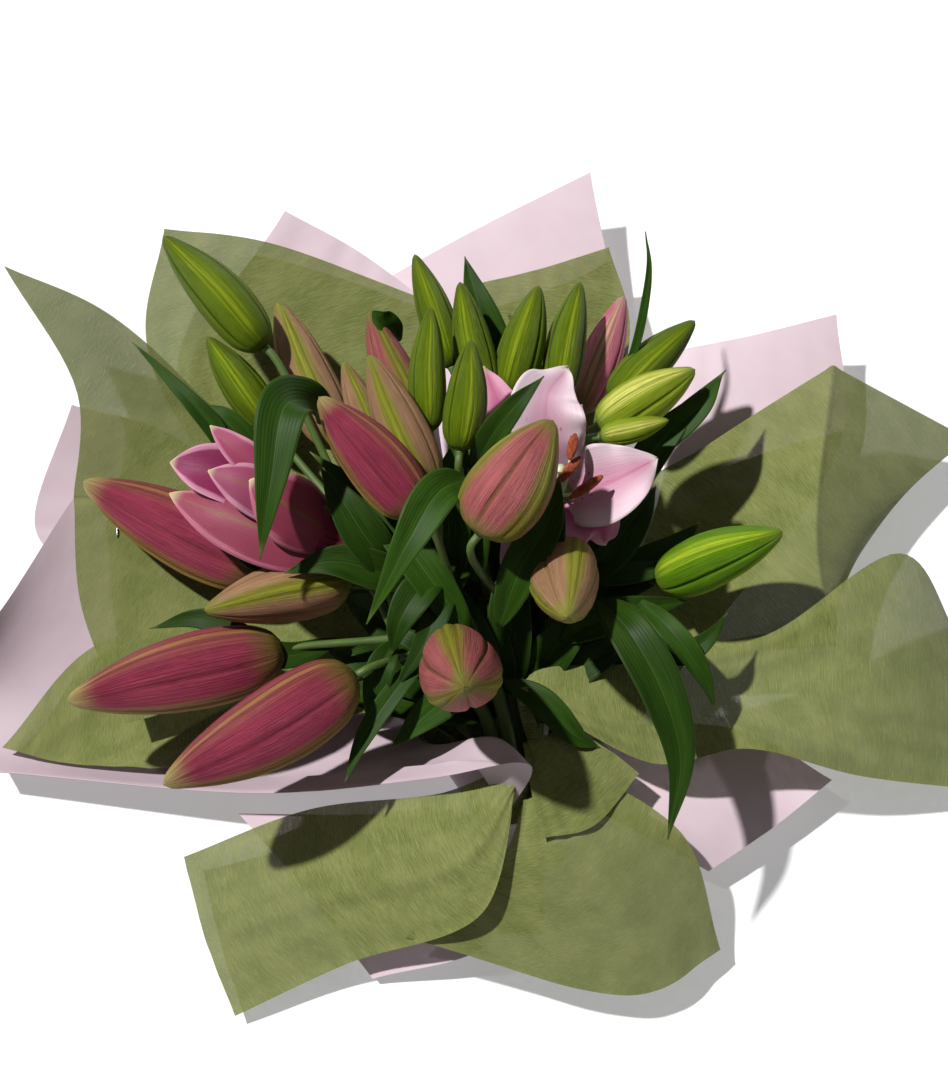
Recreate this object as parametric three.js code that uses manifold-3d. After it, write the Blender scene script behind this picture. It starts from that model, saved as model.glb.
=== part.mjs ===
// A wrapped bunch of lilies lying on its back: seven cut stems with buds, two flowers and leaves,
// gathered by one tie inside sheets of green fabric wrap and pink paper.
// Millimetres, +Z up. The heads point along +Y and the cut stem ends along -Y.
import * as THREE from 'three';
import { mergeVertices } from 'three/addons/utils/BufferGeometryUtils.js';
import Module from 'manifold-3d';

const wasm = await Module();
wasm.setup();

// ---------- driving dimensions ----------
const BOUQUET_WIDTH = 546;      // across the wrap, along X
const BOUQUET_LENGTH = 470;     // from the lowest wrap corner to the highest, along Y
const HEAD_DEPTH = 188;         // from the surface to the highest bud, along Z
const STEM_DIAMETER = 8;
const STEM_GAP = 0.4;           // between neighbouring stems in the tie
const PEDICEL_DIAMETER = 4.4;   // the short stalk that carries one bud
const BUD_GIRTH = 1;            // multiplies every bud's diameter
const BUD_LOBE = 0.05;          // how far a bud's three ribs stand out, as a share of its radius
const SHEET_THICKNESS = 0.6;
const SHEET_PITCH = 1.4;        // from one layer of wrap to the next inside the tie
const LEAF_THICKNESS = 1;
const TEPAL_THICKNESS = 1.8;
const FILAMENT_DIAMETER = 1.8;
const ANTHER_DIAMETER = 4;
const TIE_WIDTH = 9;
const TIE_THICKNESS = 2.4;
const STAPLE_LENGTH = 11;
const STAPLE_WIRE = 0.8;
const CLEARANCE = 0.35;         // left between pieces that touch

// ---------- layout ----------
// Points below are laid out for a bunch of this size; spot() carries them to the driving sizes.
const LAYOUT_WIDTH = 546;
const LAYOUT_LENGTH = 470;
const LAYOUT_DEPTH = 188;
const TIE_SPOT = [25, -135];
const STEM_END = -178;
const THROAT_LEAD = 9;          // wrap runs straight this far past the tie
const WRAP_LAYERS = 6;

const bundleRadius = STEM_DIAMETER * 1.5 + STEM_GAP;
const firstLayerRadius = bundleRadius + CLEARANCE + SHEET_THICKNESS;
const tieInnerRadius = firstLayerRadius + SHEET_PITCH * WRAP_LAYERS - SHEET_THICKNESS / 2;
const tieOuterRadius = tieInnerRadius + TIE_THICKNESS;

function spot([x, y, z]) {
  const across = BOUQUET_WIDTH / LAYOUT_WIDTH;
  const along = BOUQUET_LENGTH / LAYOUT_LENGTH;
  const upward = HEAD_DEPTH / LAYOUT_DEPTH;
  return new THREE.Vector3(x * across, y * along, z * upward);
}

const tieCentre = spot([TIE_SPOT[0], TIE_SPOT[1], 0]).setZ(tieOuterRadius);

// Seven stems: six round one, in order left, lower left, upper left, middle, lower right, upper
// right, right. Each has its place in the tie and the points it passes on its way to its top.
const STEMS = [
  { name: 'stem_left', place: 180, route: [[14, -90, 31], [4, -60, 50], [-20, -36, 66], [-42, -22, 74]] },
  { name: 'stem_far_left', place: 240, route: [[16, -90, 20], [0, -50, 32], [-30, -5, 44], [-68, 46, 54]] },
  { name: 'stem_inner_left', place: 120, route: [[20, -85, 36], [10, -45, 58], [-18, 12, 94]] },
  { name: 'stem_middle', place: null, route: [[25, -85, 26], [16, -35, 44], [2, 28, 72], [-4, 64, 80]] },
  { name: 'stem_inner_right', place: 300, route: [[30, -90, 17], [32, -30, 32], [30, 30, 50], [28, 72, 60]] },
  { name: 'stem_far_right', place: 60, route: [[32, -85, 31], [38, -35, 46], [42, 10, 60], [68, 52, 74]] },
  { name: 'stem_right', place: 0, route: [[38, -90, 25], [52, -50, 38], [66, -18, 54]] },
];

// Buds: the stem and how far up it the bud's stalk leaves, as a share of the stem's length; length
// and diameter; then the base point, the heading round Z from +X and the rise above the surface.
const BUDS = [
  { name: 'bud_green_far_left', stem: 1, fork: 0.97, length: 81, girth: 29,
    base: [-113, 132, 84], heading: 133, rise: 8 },
  { name: 'bud_green_low_left', stem: 1, fork: 0.9, length: 60, girth: 23,
    base: [-112, 97, 50], heading: 126, rise: 8 },
  { name: 'bud_blush_back', stem: 1, fork: 1, length: 88, girth: 31,
    base: [-74, 84, 54], heading: 113, rise: 4 },
  { name: 'bud_rose_long', stem: 1, fork: 0.78, length: 113, girth: 41,
    base: [-113, 14, 54], heading: 153, rise: -2 },
  { name: 'bud_blush_small', stem: 2, fork: 0.93, length: 56, girth: 19,
    base: [-50, 70, 84], heading: 111, rise: 5 },
  { name: 'bud_blush_tall', stem: 2, fork: 1, length: 76, girth: 27,
    base: [-23, 46, 116], heading: 115, rise: 11 },
  { name: 'bud_rose_behind', stem: 3, fork: 0.9, length: 74, girth: 25,
    base: [-27, 84, 80], heading: 114, rise: 3 },
  { name: 'bud_rose_centre', stem: 2, fork: 0.9, length: 78, girth: 33,
    base: [-28, 30, 130], heading: 132, rise: 12 },
  { name: 'bud_green_first', stem: 3, fork: 0.97, length: 66, girth: 20,
    base: [-12, 122, 80], heading: 108, rise: 2 },
  { name: 'bud_green_second', stem: 3, fork: 0.94, length: 66, girth: 20,
    base: [-24, 78, 112], heading: 89, rise: 5 },
  { name: 'bud_green_third', stem: 3, fork: 1, length: 66, girth: 22,
    base: [6, 100, 90], heading: 102, rise: 6 },
  { name: 'bud_green_front', stem: 3, fork: 0.86, length: 56, girth: 22,
    base: [-7, 60, 142], heading: 84, rise: 17 },
  { name: 'bud_green_fourth', stem: 4, fork: 1, length: 62, girth: 25,
    base: [18, 104, 84], heading: 74, rise: 11 },
  { name: 'bud_green_fifth', stem: 4, fork: 0.96, length: 65, girth: 22,
    base: [45, 104, 84], heading: 79, rise: 2 },
  { name: 'bud_rose_far', stem: 4, fork: 0.92, length: 70, girth: 24,
    base: [58, 104, 54], heading: 69, rise: 2 },
  { name: 'bud_rose_front', stem: 4, fork: 0.64, length: 68, girth: 42,
    base: [3, 15, 150], heading: 55, rise: 22 },
  { name: 'bud_green_back_right', stem: 5, fork: 1, length: 62, girth: 23,
    base: [74, 103, 80], heading: 43, rise: 9 },
  { name: 'bud_lime', stem: 5, fork: 0.96, length: 58, girth: 27,
    base: [66, 82, 106], heading: 29, rise: 12 },
  { name: 'bud_lime_small', stem: 5, fork: 0.9, length: 36, girth: 14,
    base: [66, 73, 119], heading: 12, rise: 8 },
  { name: 'bud_nodding', stem: 6, fork: 1, length: 98, girth: 36,
    base: [49, 16, 84], heading: -94, rise: 61 },
  { name: 'bud_lime_right', stem: 6, fork: 0.93, length: 76, girth: 30,
    base: [99, 6, 72], heading: 16, rise: 34 },
  { name: 'bud_facing', stem: 0, fork: 0.8, length: 98, girth: 42,
    base: [-10, -38, 90], heading: -80, rise: 72 },
  { name: 'bud_blush_left', stem: 0, fork: 1, length: 78, girth: 32,
    base: [-67, 3, 84], heading: -165, rise: 16 },
  { name: 'bud_rose_left', stem: 0, fork: 0.97, length: 115, girth: 41,
    base: [-101, -33, 78], heading: -166, rise: 4 },
  { name: 'bud_rose_lowest', stem: 0, fork: 0.9, length: 112, girth: 42,
    base: [-62, -50, 100], heading: -149, rise: 6 },
];

// A bud's outline: share of its length from the base, and share of its greatest radius there.
const BUD_OUTLINE = [
  [0, 0.3], [0.06, 0.66], [0.18, 0.9], [0.36, 1], [0.56, 0.9], [0.76, 0.62], [0.92, 0.26], [1, 0],
];
const BUD_SIDES = 9;

// Sheets of wrap. Each starts on an arc inside the tie, between two angles seen from the heads
// (0 is +X, 90 is up), on its own layer counted out from the stems, and then passes through rows
// of points, each row running across the sheet in the same sense as the arc.
const SHEETS = [
  { name: 'wrap_green_left', layer: 0, arc: [150, 205], rows: [
    [[0, -78, 34], [-4, -70, 24], [-8, -58, 15], [-12, -46, 13], [-16, -34, 14]],
    [[-62, -41, 26], [-77, -6, 18], [-86, 29, 14], [-98, 63, 16], [-131, 96, 30]],
    [[-133, -53, 32], [-151, 4, 22], [-158, 61, 20], [-159, 100, 24], [-200, 157, 62]],
    [[-188, -66, 40], [-215, 0, 38], [-221, 59, 36], [-219, 115, 46], [-256, 179, 80]],
  ] },
  { name: 'wrap_green_back_left', layer: 1, arc: [208, 268], rows: [
    [[-92, 7, 8], [-52, 7, 9], [-2, 7, 9]],
    [[-184, 147, 24], [-127, 121, 14], [-25, 110, 11]],
    [[-175, 215, 38], [-118, 208, 36], [-31, 179, 24]],
  ] },
  { name: 'wrap_green_back_right', layer: 2, arc: [266, 322], rows: [
    [[6, 30, 6], [28, 30, 6], [54, 36, 8]],
    [[-11, 110, 14], [32, 120, 16], [88, 158, 28]],
    [[3, 186, 28], [40, 194, 32], [76, 204, 38]],
  ] },
  { name: 'wrap_green_left_low', layer: 2, arc: [140, 186], rows: [
    [[0, -84, 34], [-8, -78, 20], [-14, -68, 13]],
    [[-46, -58, 30], [-74, -40, 18], [-91, -14, 14]],
    [[-133, -85, 26], [-173, -61, 16], [-205, -17, 14]],
    [[-176, -89, 24], [-226, -85, 20], [-258, -77, 20]],
  ] },
  { name: 'wrap_green_right_high', layer: 0, arc: [15, -40], rows: [
    [[60, -52, 20], [62, -46, 27], [68, 2, 22], [70, 50, 16]],
    [[125, -21, 20], [123, -30, 36], [136, 26, 26], [132, 92, 32]],
    [[185, -12, 30], [195, -25, 48], [184, 28, 62], [195, 125, 72]],
    [[193, 6, 16], [200, 12, 28], [236, 60, 30], [277, 96, 25]],
  ] },
  { name: 'wrap_green_right_low', layer: 1, arc: [70, 25], rows: [
    [[31, -88, 43], [35, -86, 44], [39, -84, 42]],
    [[27, -60, 65], [24, -52, 68], [29, -45, 64]],
    [[96, -91, 63], [88, -65, 66], [92, -36, 58]],
    [[143, -83, 67], [153, -52, 50], [158, -20, 53]],
    [[207, -95, 42], [219, -55, 46], [229, 21, 70]],
    [[279, -100, 16], [289, -61, 16], [268, -18, 25]],
  ] },
  { name: 'wrap_green_front_middle', layer: 2, arc: [76, 50], rows: [
    [[28, -91, 50], [35, -88, 51], [42, -84, 50]],
    [[26, -80, 60], [35, -77, 61], [48, -72, 58]],
    [[30, -105, 64], [48, -97, 63], [72, -83, 57]],
    [[36, -130, 62], [62, -124, 60], [88, -95, 54]],
  ] },
  { name: 'wrap_green_front_right', layer: 3, arc: [80, 50], rows: [
    [[27, -108, 55], [37, -104, 56], [48, -96, 53]],
    [[16, -138, 57], [45, -138, 56], [109, -125, 50]],
    [[-37, -180, 38], [88, -210, 26], [133, -186, 16]],
  ] },
  { name: 'wrap_green_front_left', layer: 2, arc: [84, 120], rows: [
    [[25, -94, 64], [23, -101, 65], [21, -108, 65]],
    [[-18, -106, 58], [-6, -136, 63], [5, -168, 58]],
    [[-89, -112, 32], [-83, -155, 28], [-69, -194, 20]],
    [[-158, -136, 14], [-146, -178, 12], [-129, -221, 8]],
  ] },
  { name: 'paper_pink_back_left', layer: 3, arc: [208, 272], rows: [
    [[-86, 8, 5], [-41, 8, 5], [3, 8, 5]],
    [[-162, 135, 9], [-93, 124, 6], [-25, 106, 6]],
    [[-108, 230, 26], [-68, 209, 20], [-28, 181, 14]],
  ] },
  { name: 'paper_pink_back_middle', layer: 4, arc: [240, 305], rows: [
    [[-19, 8, 1], [15, 14, 1], [48, 25, 1]],
    [[-36, 107, 1], [32, 129, 4], [86, 122, 8]],
    [[-57, 193, 4], [6, 225, 16], [66, 248, 40]],
  ] },
  { name: 'paper_pink_back_right', layer: 3, arc: [300, 340], rows: [
    [[70, -15, 4], [96, -15, 4], [126, -18, 5]],
    [[104, 65, 7], [150, 76, 10], [207, 97, 18]],
    [[112, 150, 14], [156, 156, 25], [203, 164, 40]],
  ] },
  { name: 'paper_pink_left', layer: 4, arc: [112, 196], rows: [
    [[-2, -92, 75], [29, -94, 84], [14, -80, 76], [-16, -86, 34], [-24, -76, 6]],
    [[-24, -92, 67], [-23, -100, 75], [-30, -88, 44], [-42, -66, 12], [-64, -28, 4]],
    [[-117, -94, 24], [-114, -104, 40], [-120, -90, 16], [-152, -40, 7], [-190, 96, 5]],
    [[-266, -82, 10], [-265, -90, 22], [-268, -76, 10], [-269, -44, 9], [-267, -12, 30]],
  ] },
  { name: 'paper_pink_far_left', layer: 5, arc: [172, 212], rows: [
    [[-40, -60, 1], [-34, -54, 1], [-28, -48, 1]],
    [[-154, 8, 1], [-160, 43, 1], [-167, 101, 1]],
    [[-236, 31, 1], [-248, 51, 4], [-228, 119, 13]],
  ] },
  { name: 'paper_pink_front', layer: 5, arc: [105, 70], rows: [
    [[11, -122, 49.5], [19, -122, 51.5], [28, -121, 52.5]],
    [[-14, -113, 46], [-2, -135, 49], [16, -152, 47]],
    [[-60, -114, 25], [-40, -147, 26], [6, -184, 26]],
    [[-129, -112, 9], [-95, -150, 8], [-55, -201, 4]],
  ] },
  { name: 'paper_pink_front_right', layer: 4, arc: [40, -10], rows: [
    [[46, -107, 30], [55, -90, 28], [63, -74, 26]],
    [[95, -128, 30], [123, -101, 26], [146, -67, 18]],
    [[127, -144, 18], [162, -121, 20], [195, -95, 22]],
  ] },
];
const SHEET_STEPS_ACROSS = 6;
const SHEET_STEPS_PER_ROW = 2;
const SAMPLE_STEP = 0.01;       // how far apart a surface is sampled to find its slope
const STAPLE_PLACE = [0.28, 0.93];

// The larger leaves, from the stem out to the tip.
const LEAVES = [
  { name: 'leaf_drooping_left', width: 29,
    path: [[-73, 86, 104], [-87, 87, 138], [-96, 78, 156], [-102, 41, 154], [-108, 3, 142]] },
  { name: 'leaf_centre', width: 23,
    path: [[-3, 43, 148], [-17, 34, 160], [-32, 9, 162], [-54, -30, 142]] },
  { name: 'leaf_upright', width: 15,
    path: [[-2, 50, 122], [8, 63, 152], [21, 77, 166], [35, 91, 170]] },
  { name: 'leaf_behind_front_bud', width: 22,
    path: [[13, -24, 100], [24, 2, 124], [38, 25, 134], [44, 47, 137]] },
  { name: 'leaf_dark', width: 22,
    path: [[1, -31, 84], [-23, 1, 104], [-54, 41, 106], [-86, 68, 106]] },
  { name: 'leaf_drooping_right', width: 25,
    path: [[65, -9, 96], [78, -30, 126], [95, -61, 124], [105, -95, 110], [99, -134, 96]] },
  { name: 'leaf_far_right', width: 20,
    path: [[54, 13, 78], [77, 46, 88], [104, 82, 96], [134, 115, 98]] },
];
const LEAF_STEPS = 8;
const LEAF_FOLD = 0.35;
const BLADE_END = 0.12;         // a leaf's or tepal's width at its ends, as a share of its widest
const BLADE_BELLY = 0.8;        // below 1, a blade is widest nearer its base than its tip

// The open flower: six tepals spread from one throat, with its stamens and pistil.
const OPEN_FLOWER_BASE = [45, 47, 88];
const OPEN_FLOWER_CUP = { heading: 0, rise: 90, length: 16, girth: 13 };
const OPEN_TEPALS = [
  { width: 42, path: [[46, 48, 100], [38, 70, 122], [38, 92, 130], [49, 109, 122]] },
  { width: 24, path: [[43, 49, 98], [24, 69, 108], [13, 92, 115], [5, 113, 112]] },
  { width: 44, path: [[46, 46, 100], [60, 46, 112], [78, 52, 120], [95, 61, 120]] },
  { width: 30, path: [[46, 46, 98], [55, 34, 108], [65, 28, 108], [69, 20, 98]] },
  { width: 24, path: [[43, 46, 96], [32, 30, 100], [23, 17, 98], [16, 4, 88]] },
  { width: 15, path: [[45, 50, 98], [47, 72, 92], [51, 87, 88], [58, 99, 86]] },
];
const STAMENS = [
  { filament: [[46, 45, 104], [47, 42, 118], [53, 40, 130]], anther: [[49, 37, 131], [66, 49, 131]] },
  { filament: [[46, 45, 104], [48, 50, 120], [50, 62, 132]], anther: [[49, 57, 133], [52, 71, 133]] },
  { filament: [[46, 45, 104], [45, 46, 118], [46, 50, 128]], anther: [[43, 46, 128], [55, 60, 128]] },
];
// The opening flower: a bud's body whose tepals part towards the tip.
const OPENING_BASE = [-60, 20, 92];
const OPENING_BODY = { heading: 160, rise: 12, length: 80, girth: 36 };
const OPENING_TEPALS = [
  { width: 18, path: [[-86, 27, 106], [-108, 52, 120], [-124, 66, 124], [-137, 78, 122]] },
  { width: 32, path: [[-82, 30, 100], [-118, 51, 106], [-142, 58, 110], [-159, 62, 108]] },
  { width: 28, path: [[-74, 27, 108], [-100, 38, 121], [-121, 47, 127], [-137, 53, 126]] },
  { width: 36, path: [[-64, 15, 98], [-96, 20, 112], [-132, 33, 114], [-160, 47, 100]] },
  { width: 38, path: [[-66, 22, 97], [-84, 28, 120], [-102, 38, 131], [-115, 47, 131]] },
  { width: 32, path: [[-86, 28, 95], [-112, 45, 94], [-129, 52, 94], [-142, 57, 96]] },
];
const TEPAL_STEPS = 6;
const TEPAL_FOLD = 0.3;         // how far a tepal's sides rise, as a share of their distance from the rib

// The stalks under the two flowers: the stem, and how far up it the stalk leaves.
const FLOWER_STALKS = [
  { stem: 5, fork: 0.86, base: OPEN_FLOWER_BASE, ...OPEN_FLOWER_CUP },
  { stem: 0, fork: 0.99, base: OPENING_BASE, ...OPENING_BODY },
];
const STALK_GAP = 0.4;          // between a stalk's end and its bud
const STALK_STRAIGHT = 9;       // the stalk's last stretch, in line with its bud
const STALK_STEPS = 4;
const STEM_STEPS = 10;
const FILAMENT_STEPS = 4;
const ANTHER_STEPS = 2;

const STEM_SIDES = 6;
const STALK_SIDES = 5;
const FILAMENT_SIDES = 5;
const ANTHER_SIDES = 6;
const TIE_SIDES = 36;
const EDGE_MARGIN = 1e-3;       // a sample this near 0 or 1 lies on a slab's edge
const MERGE_DISTANCE = 1e-4;    // corners nearer than this are one corner

// Each finish: its colour, its roughness and whether it is metal.
const FINISHES = {
  green_bud: ['#7d9a2a', 0.5, 0],
  blush_bud: ['#b58a5e', 0.5, 0],
  rose_bud: ['#b0616f', 0.5, 0],
  pale_tepal: ['#ecc6d6', 0.5, 0],
  deep_tepal: ['#b65a86', 0.5, 0],
  stamen: ['#8e2f1c', 0.8, 0],
  stem: ['#5f7d35', 0.6, 0],
  leaf: ['#34552c', 0.45, 0],
  green_wrap: ['#7d8a58', 0.9, 0],
  pink_paper: ['#e3c3cd', 0.9, 0],
  twine: ['#9a9488', 0.8, 0],
  steel: ['#c8cacc', 0.3, 1],
};

// ---------- solids and placing ----------
function solidOf(geometry) {
  const bare = geometry.clone();
  bare.deleteAttribute('normal');
  bare.deleteAttribute('uv');
  const merged = mergeVertices(bare, MERGE_DISTANCE);
  const vertProperties = new Float32Array(merged.attributes.position.array);
  const triVerts = new Uint32Array(merged.index.array);
  return new wasm.Manifold(new wasm.Mesh({ numProp: 3, vertProperties, triVerts }));
}

function geometryOf(solid) {
  const mesh = solid.getMesh();
  const geometry = new THREE.BufferGeometry();
  geometry.setAttribute('position', new THREE.BufferAttribute(mesh.vertProperties, 3));
  geometry.setIndex(new THREE.BufferAttribute(mesh.triVerts, 1));
  geometry.computeVertexNormals();
  return geometry;
}

const bunch = new THREE.Group();
const keepOuts = [];

function boxesMeet(a, b) {
  return [0, 1, 2].every((axis) => a.min[axis] < b.max[axis] && b.min[axis] < a.max[axis]);
}

// Places a piece, trimmed by every earlier piece that it would touch. keepOut is the piece's own
// shape grown by the clearance, which trims the pieces placed later.
function place(name, solid, keepOut, [color, roughness, metalness]) {
  let body = solid;
  for (const earlier of keepOuts) {
    if (boxesMeet(body.boundingBox(), earlier.boundingBox())) {
      body = body.subtract(earlier);
    }
  }
  const pieces = body.decompose();
  const largest = pieces.reduce((best, piece) => (piece.volume() > best.volume() ? piece : best));
  const material = new THREE.MeshStandardMaterial({ color, roughness, metalness });
  const mesh = new THREE.Mesh(geometryOf(largest), material);
  mesh.name = name;
  bunch.add(mesh);
  keepOuts.push(keepOut);
}

// ---------- buds ----------
function direction(heading, rise) {
  const level = Math.cos(THREE.MathUtils.degToRad(rise));
  return new THREE.Vector3(
    Math.cos(THREE.MathUtils.degToRad(heading)) * level,
    Math.sin(THREE.MathUtils.degToRad(heading)) * level,
    Math.sin(THREE.MathUtils.degToRad(rise)),
  );
}

function budSolid(base, pointing, length, diameter, grow) {
  const profile = [new THREE.Vector2(0, -grow)];
  for (const [along, share] of BUD_OUTLINE.slice(0, -1)) {
    profile.push(new THREE.Vector2(share * diameter / 2 + grow, along * length - (along ? 0 : grow)));
  }
  profile.push(new THREE.Vector2(0, length + grow));
  const geometry = new THREE.LatheGeometry(profile, BUD_SIDES);
  const points = geometry.attributes.position;
  for (let i = 0; i < points.count; i += 1) {
    const angle = Math.atan2(points.getZ(i), points.getX(i));
    const swell = 1 + BUD_LOBE * Math.cos(3 * angle);
    points.setX(i, points.getX(i) * swell);
    points.setZ(i, points.getZ(i) * swell);
  }
  geometry.applyQuaternion(new THREE.Quaternion().setFromUnitVectors(new THREE.Vector3(0, 1, 0), pointing));
  geometry.translate(base.x, base.y, base.z);
  return solidOf(geometry);
}

function budFinish(name) {
  if (name.includes('rose')) {
    return FINISHES.rose_bud;
  }
  return name.includes('green') || name.includes('lime') ? FINISHES.green_bud : FINISHES.blush_bud;
}

for (const bud of BUDS) {
  const base = spot(bud.base);
  const pointing = direction(bud.heading, bud.rise);
  const diameter = bud.girth * BUD_GIRTH;
  const solid = budSolid(base, pointing, bud.length, diameter, 0);
  const keepOut = budSolid(base, pointing, bud.length, diameter, CLEARANCE);
  place(bud.name, solid, keepOut, budFinish(bud.name));
}

// ---------- blades: leaves and tepals ----------
function splineThrough(points) {
  return new THREE.CatmullRomCurve3(points);
}

// Splits the squares of a box's far face along the same diagonals as those of its near face, so
// that a slab bent out of plane keeps one thickness.
function matchDiagonals(box) {
  const { start, count } = box.groups[5];
  for (let i = start; i < start + count; i += 6) {
    const [a, b, d, , c] = box.index.array.slice(i, i + 6);
    box.index.array.set([a, b, c, a, c, d], i);
  }
}

// Maps a box of unit size onto a surface, with a thickness along the surface's normal. grow adds
// to the thickness on both faces and pushes the edges out.
function slabOver(surface, stepsAcross, stepsAlong, thickness, grow) {
  const geometry = new THREE.BoxGeometry(1, 1, 1, stepsAcross, stepsAlong, 1);
  const points = geometry.attributes.position;
  matchDiagonals(geometry);
  for (let i = 0; i < points.count; i += 1) {
    const u = points.getX(i) + 0.5;
    const v = points.getY(i) + 0.5;
    const across = surface(Math.min(u + SAMPLE_STEP, 1), v).sub(surface(Math.max(u - SAMPLE_STEP, 0), v));
    const along = surface(u, Math.min(v + SAMPLE_STEP, 1)).sub(surface(u, Math.max(v - SAMPLE_STEP, 0)));
    const normal = across.clone().cross(along).normalize();
    const point = surface(u, v).addScaledVector(normal, points.getZ(i) * (thickness + 2 * grow));
    point.addScaledVector(across.normalize(), grow * edgeSign(u));
    point.addScaledVector(along.normalize(), grow * edgeSign(v));
    points.setXYZ(i, point.x, point.y, point.z);
  }
  return solidOf(geometry);
}

function edgeSign(share) {
  if (share < EDGE_MARGIN) {
    return -1;
  }
  return share > 1 - EDGE_MARGIN ? 1 : 0;
}

// A blade is widest near its middle, narrows to both ends and is folded along its midrib.
function bladeSurface(path, width, fold) {
  const midrib = splineThrough(path);
  return (u, v) => {
    const point = midrib.getPoint(v);
    const along = midrib.getTangent(v);
    const side = new THREE.Vector3().crossVectors(along, new THREE.Vector3(0, 0, 1)).normalize();
    const up = new THREE.Vector3().crossVectors(side, along).normalize();
    const share = BLADE_END + (1 - BLADE_END) * Math.sin(Math.PI * v ** BLADE_BELLY);
    const offset = (u - 0.5) * width * share;
    return point.addScaledVector(side, offset).addScaledVector(up, Math.abs(offset) * fold);
  };
}

function bladeSolid(path, width, fold, steps, thickness, grow) {
  return slabOver(bladeSurface(path, width, fold), 2, steps, thickness, grow);
}

// ---------- flowers ----------
function tubeSolid(points, diameter, sides, steps) {
  const outline = new THREE.Shape();
  for (let i = 0; i < sides; i += 1) {
    const angle = (i / sides) * 2 * Math.PI;
    const corner = [Math.cos(angle) * diameter / 2, Math.sin(angle) * diameter / 2];
    if (i) {
      outline.lineTo(...corner);
    } else {
      outline.moveTo(...corner);
    }
  }
  outline.closePath();
  return solidOf(new THREE.ExtrudeGeometry(outline, { extrudePath: splineThrough(points), steps }));
}

function joined(solids) {
  return solids.reduce((sum, solid) => sum.add(solid));
}

// A flower keeps its own size: its points move as one with its base when the bunch is resized.
function carried(base, points) {
  const move = spot(base).sub(new THREE.Vector3(...base));
  return points.map((point) => new THREE.Vector3(...point).add(move));
}

function tepals(base, list, grow) {
  return list.map(({ width, path }) => (
    bladeSolid(carried(base, path), width, TEPAL_FOLD, TEPAL_STEPS, TEPAL_THICKNESS, grow)
  ));
}

function flower(base, { heading, rise, length, girth }, tepalList, grow) {
  const body = budSolid(spot(base), direction(heading, rise), length, girth, grow);
  return joined([body, ...tepals(base, tepalList, grow)]);
}

function openFlower(grow) {
  return flower(OPEN_FLOWER_BASE, OPEN_FLOWER_CUP, OPEN_TEPALS, grow);
}

function openingFlower(grow) {
  return flower(OPENING_BASE, OPENING_BODY, OPENING_TEPALS, grow);
}

function stamens(grow) {
  const thin = FILAMENT_DIAMETER + 2 * grow;
  const thick = ANTHER_DIAMETER + 2 * grow;
  return joined(STAMENS.flatMap(({ filament, anther }) => [
    tubeSolid(carried(OPEN_FLOWER_BASE, filament), thin, FILAMENT_SIDES, FILAMENT_STEPS),
    tubeSolid(carried(OPEN_FLOWER_BASE, anther), thick, ANTHER_SIDES, ANTHER_STEPS),
  ]));
}

place('flower_open', openFlower(0), openFlower(CLEARANCE), FINISHES.pale_tepal);
place('flower_open_stamens', stamens(0), stamens(CLEARANCE), FINISHES.stamen);
place('flower_opening', openingFlower(0), openingFlower(CLEARANCE), FINISHES.deep_tepal);

// ---------- stems with the stalks that carry the buds ----------
function placeInTie(angle) {
  const centre = tieCentre.clone();
  if (angle === null) {
    return centre;
  }
  const radius = STEM_DIAMETER + STEM_GAP;
  const turn = THREE.MathUtils.degToRad(angle);
  return centre.add(new THREE.Vector3(Math.cos(turn) * radius, 0, Math.sin(turn) * radius));
}

function stemPath(stem) {
  const held = placeInTie(stem.place);
  const cutEnd = held.clone().setY(spot([0, STEM_END, 0]).y);
  const mouth = held.clone().setY(held.y + TIE_WIDTH + THROAT_LEAD);
  return splineThrough([cutEnd, held, mouth, ...stem.route.map(spot)]);
}

function stalkSolid(path, stalk, grow) {
  const base = spot(stalk.base);
  const pointing = direction(stalk.heading, stalk.rise);
  const end = base.clone().addScaledVector(pointing, -STALK_GAP);
  const bend = base.clone().addScaledVector(pointing, -STALK_STRAIGHT);
  const start = path.getPointAt(stalk.fork);
  return tubeSolid([start, bend, end], PEDICEL_DIAMETER + 2 * grow, STALK_SIDES, STALK_STEPS);
}

function stemSolid(index, grow) {
  const path = stemPath(STEMS[index]);
  const stalks = [...BUDS, ...FLOWER_STALKS].filter(({ stem }) => stem === index);
  const thick = STEM_DIAMETER + 2 * grow;
  const shaft = tubeSolid(path.getSpacedPoints(STEM_STEPS), thick, STEM_SIDES, STEM_STEPS);
  return joined([shaft, ...stalks.map((stalk) => stalkSolid(path, stalk, grow))]);
}

STEMS.forEach((stem, index) => {
  place(stem.name, stemSolid(index, 0), stemSolid(index, CLEARANCE), FINISHES.stem);
});

// ---------- wrap ----------
function throatRow(arc, layer, count, y) {
  const radius = firstLayerRadius + layer * SHEET_PITCH;
  const row = [];
  for (let i = 0; i < count; i += 1) {
    const angle = THREE.MathUtils.degToRad(THREE.MathUtils.lerp(arc[0], arc[1], i / (count - 1)));
    row.push(new THREE.Vector3(
      tieCentre.x + Math.cos(angle) * radius,
      y,
      tieCentre.z + Math.sin(angle) * radius,
    ));
  }
  return row;
}

function sheetSurface({ rows, arc, layer }) {
  const count = rows[0].length;
  const behind = throatRow(arc, layer, count, tieCentre.y - TIE_WIDTH);
  const ahead = throatRow(arc, layer, count, tieCentre.y + TIE_WIDTH / 2 + THROAT_LEAD / 2);
  const acrossCurves = [behind, ahead, ...rows.map((row) => row.map(spot))].map(splineThrough);
  return (u, v) => splineThrough(acrossCurves.map((curve) => curve.getPoint(u))).getPoint(v);
}

function sheetSolid(sheet, grow) {
  const stepsAlong = (sheet.rows.length + 1) * SHEET_STEPS_PER_ROW;
  return slabOver(sheetSurface(sheet), SHEET_STEPS_ACROSS, stepsAlong, SHEET_THICKNESS, grow);
}

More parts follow.
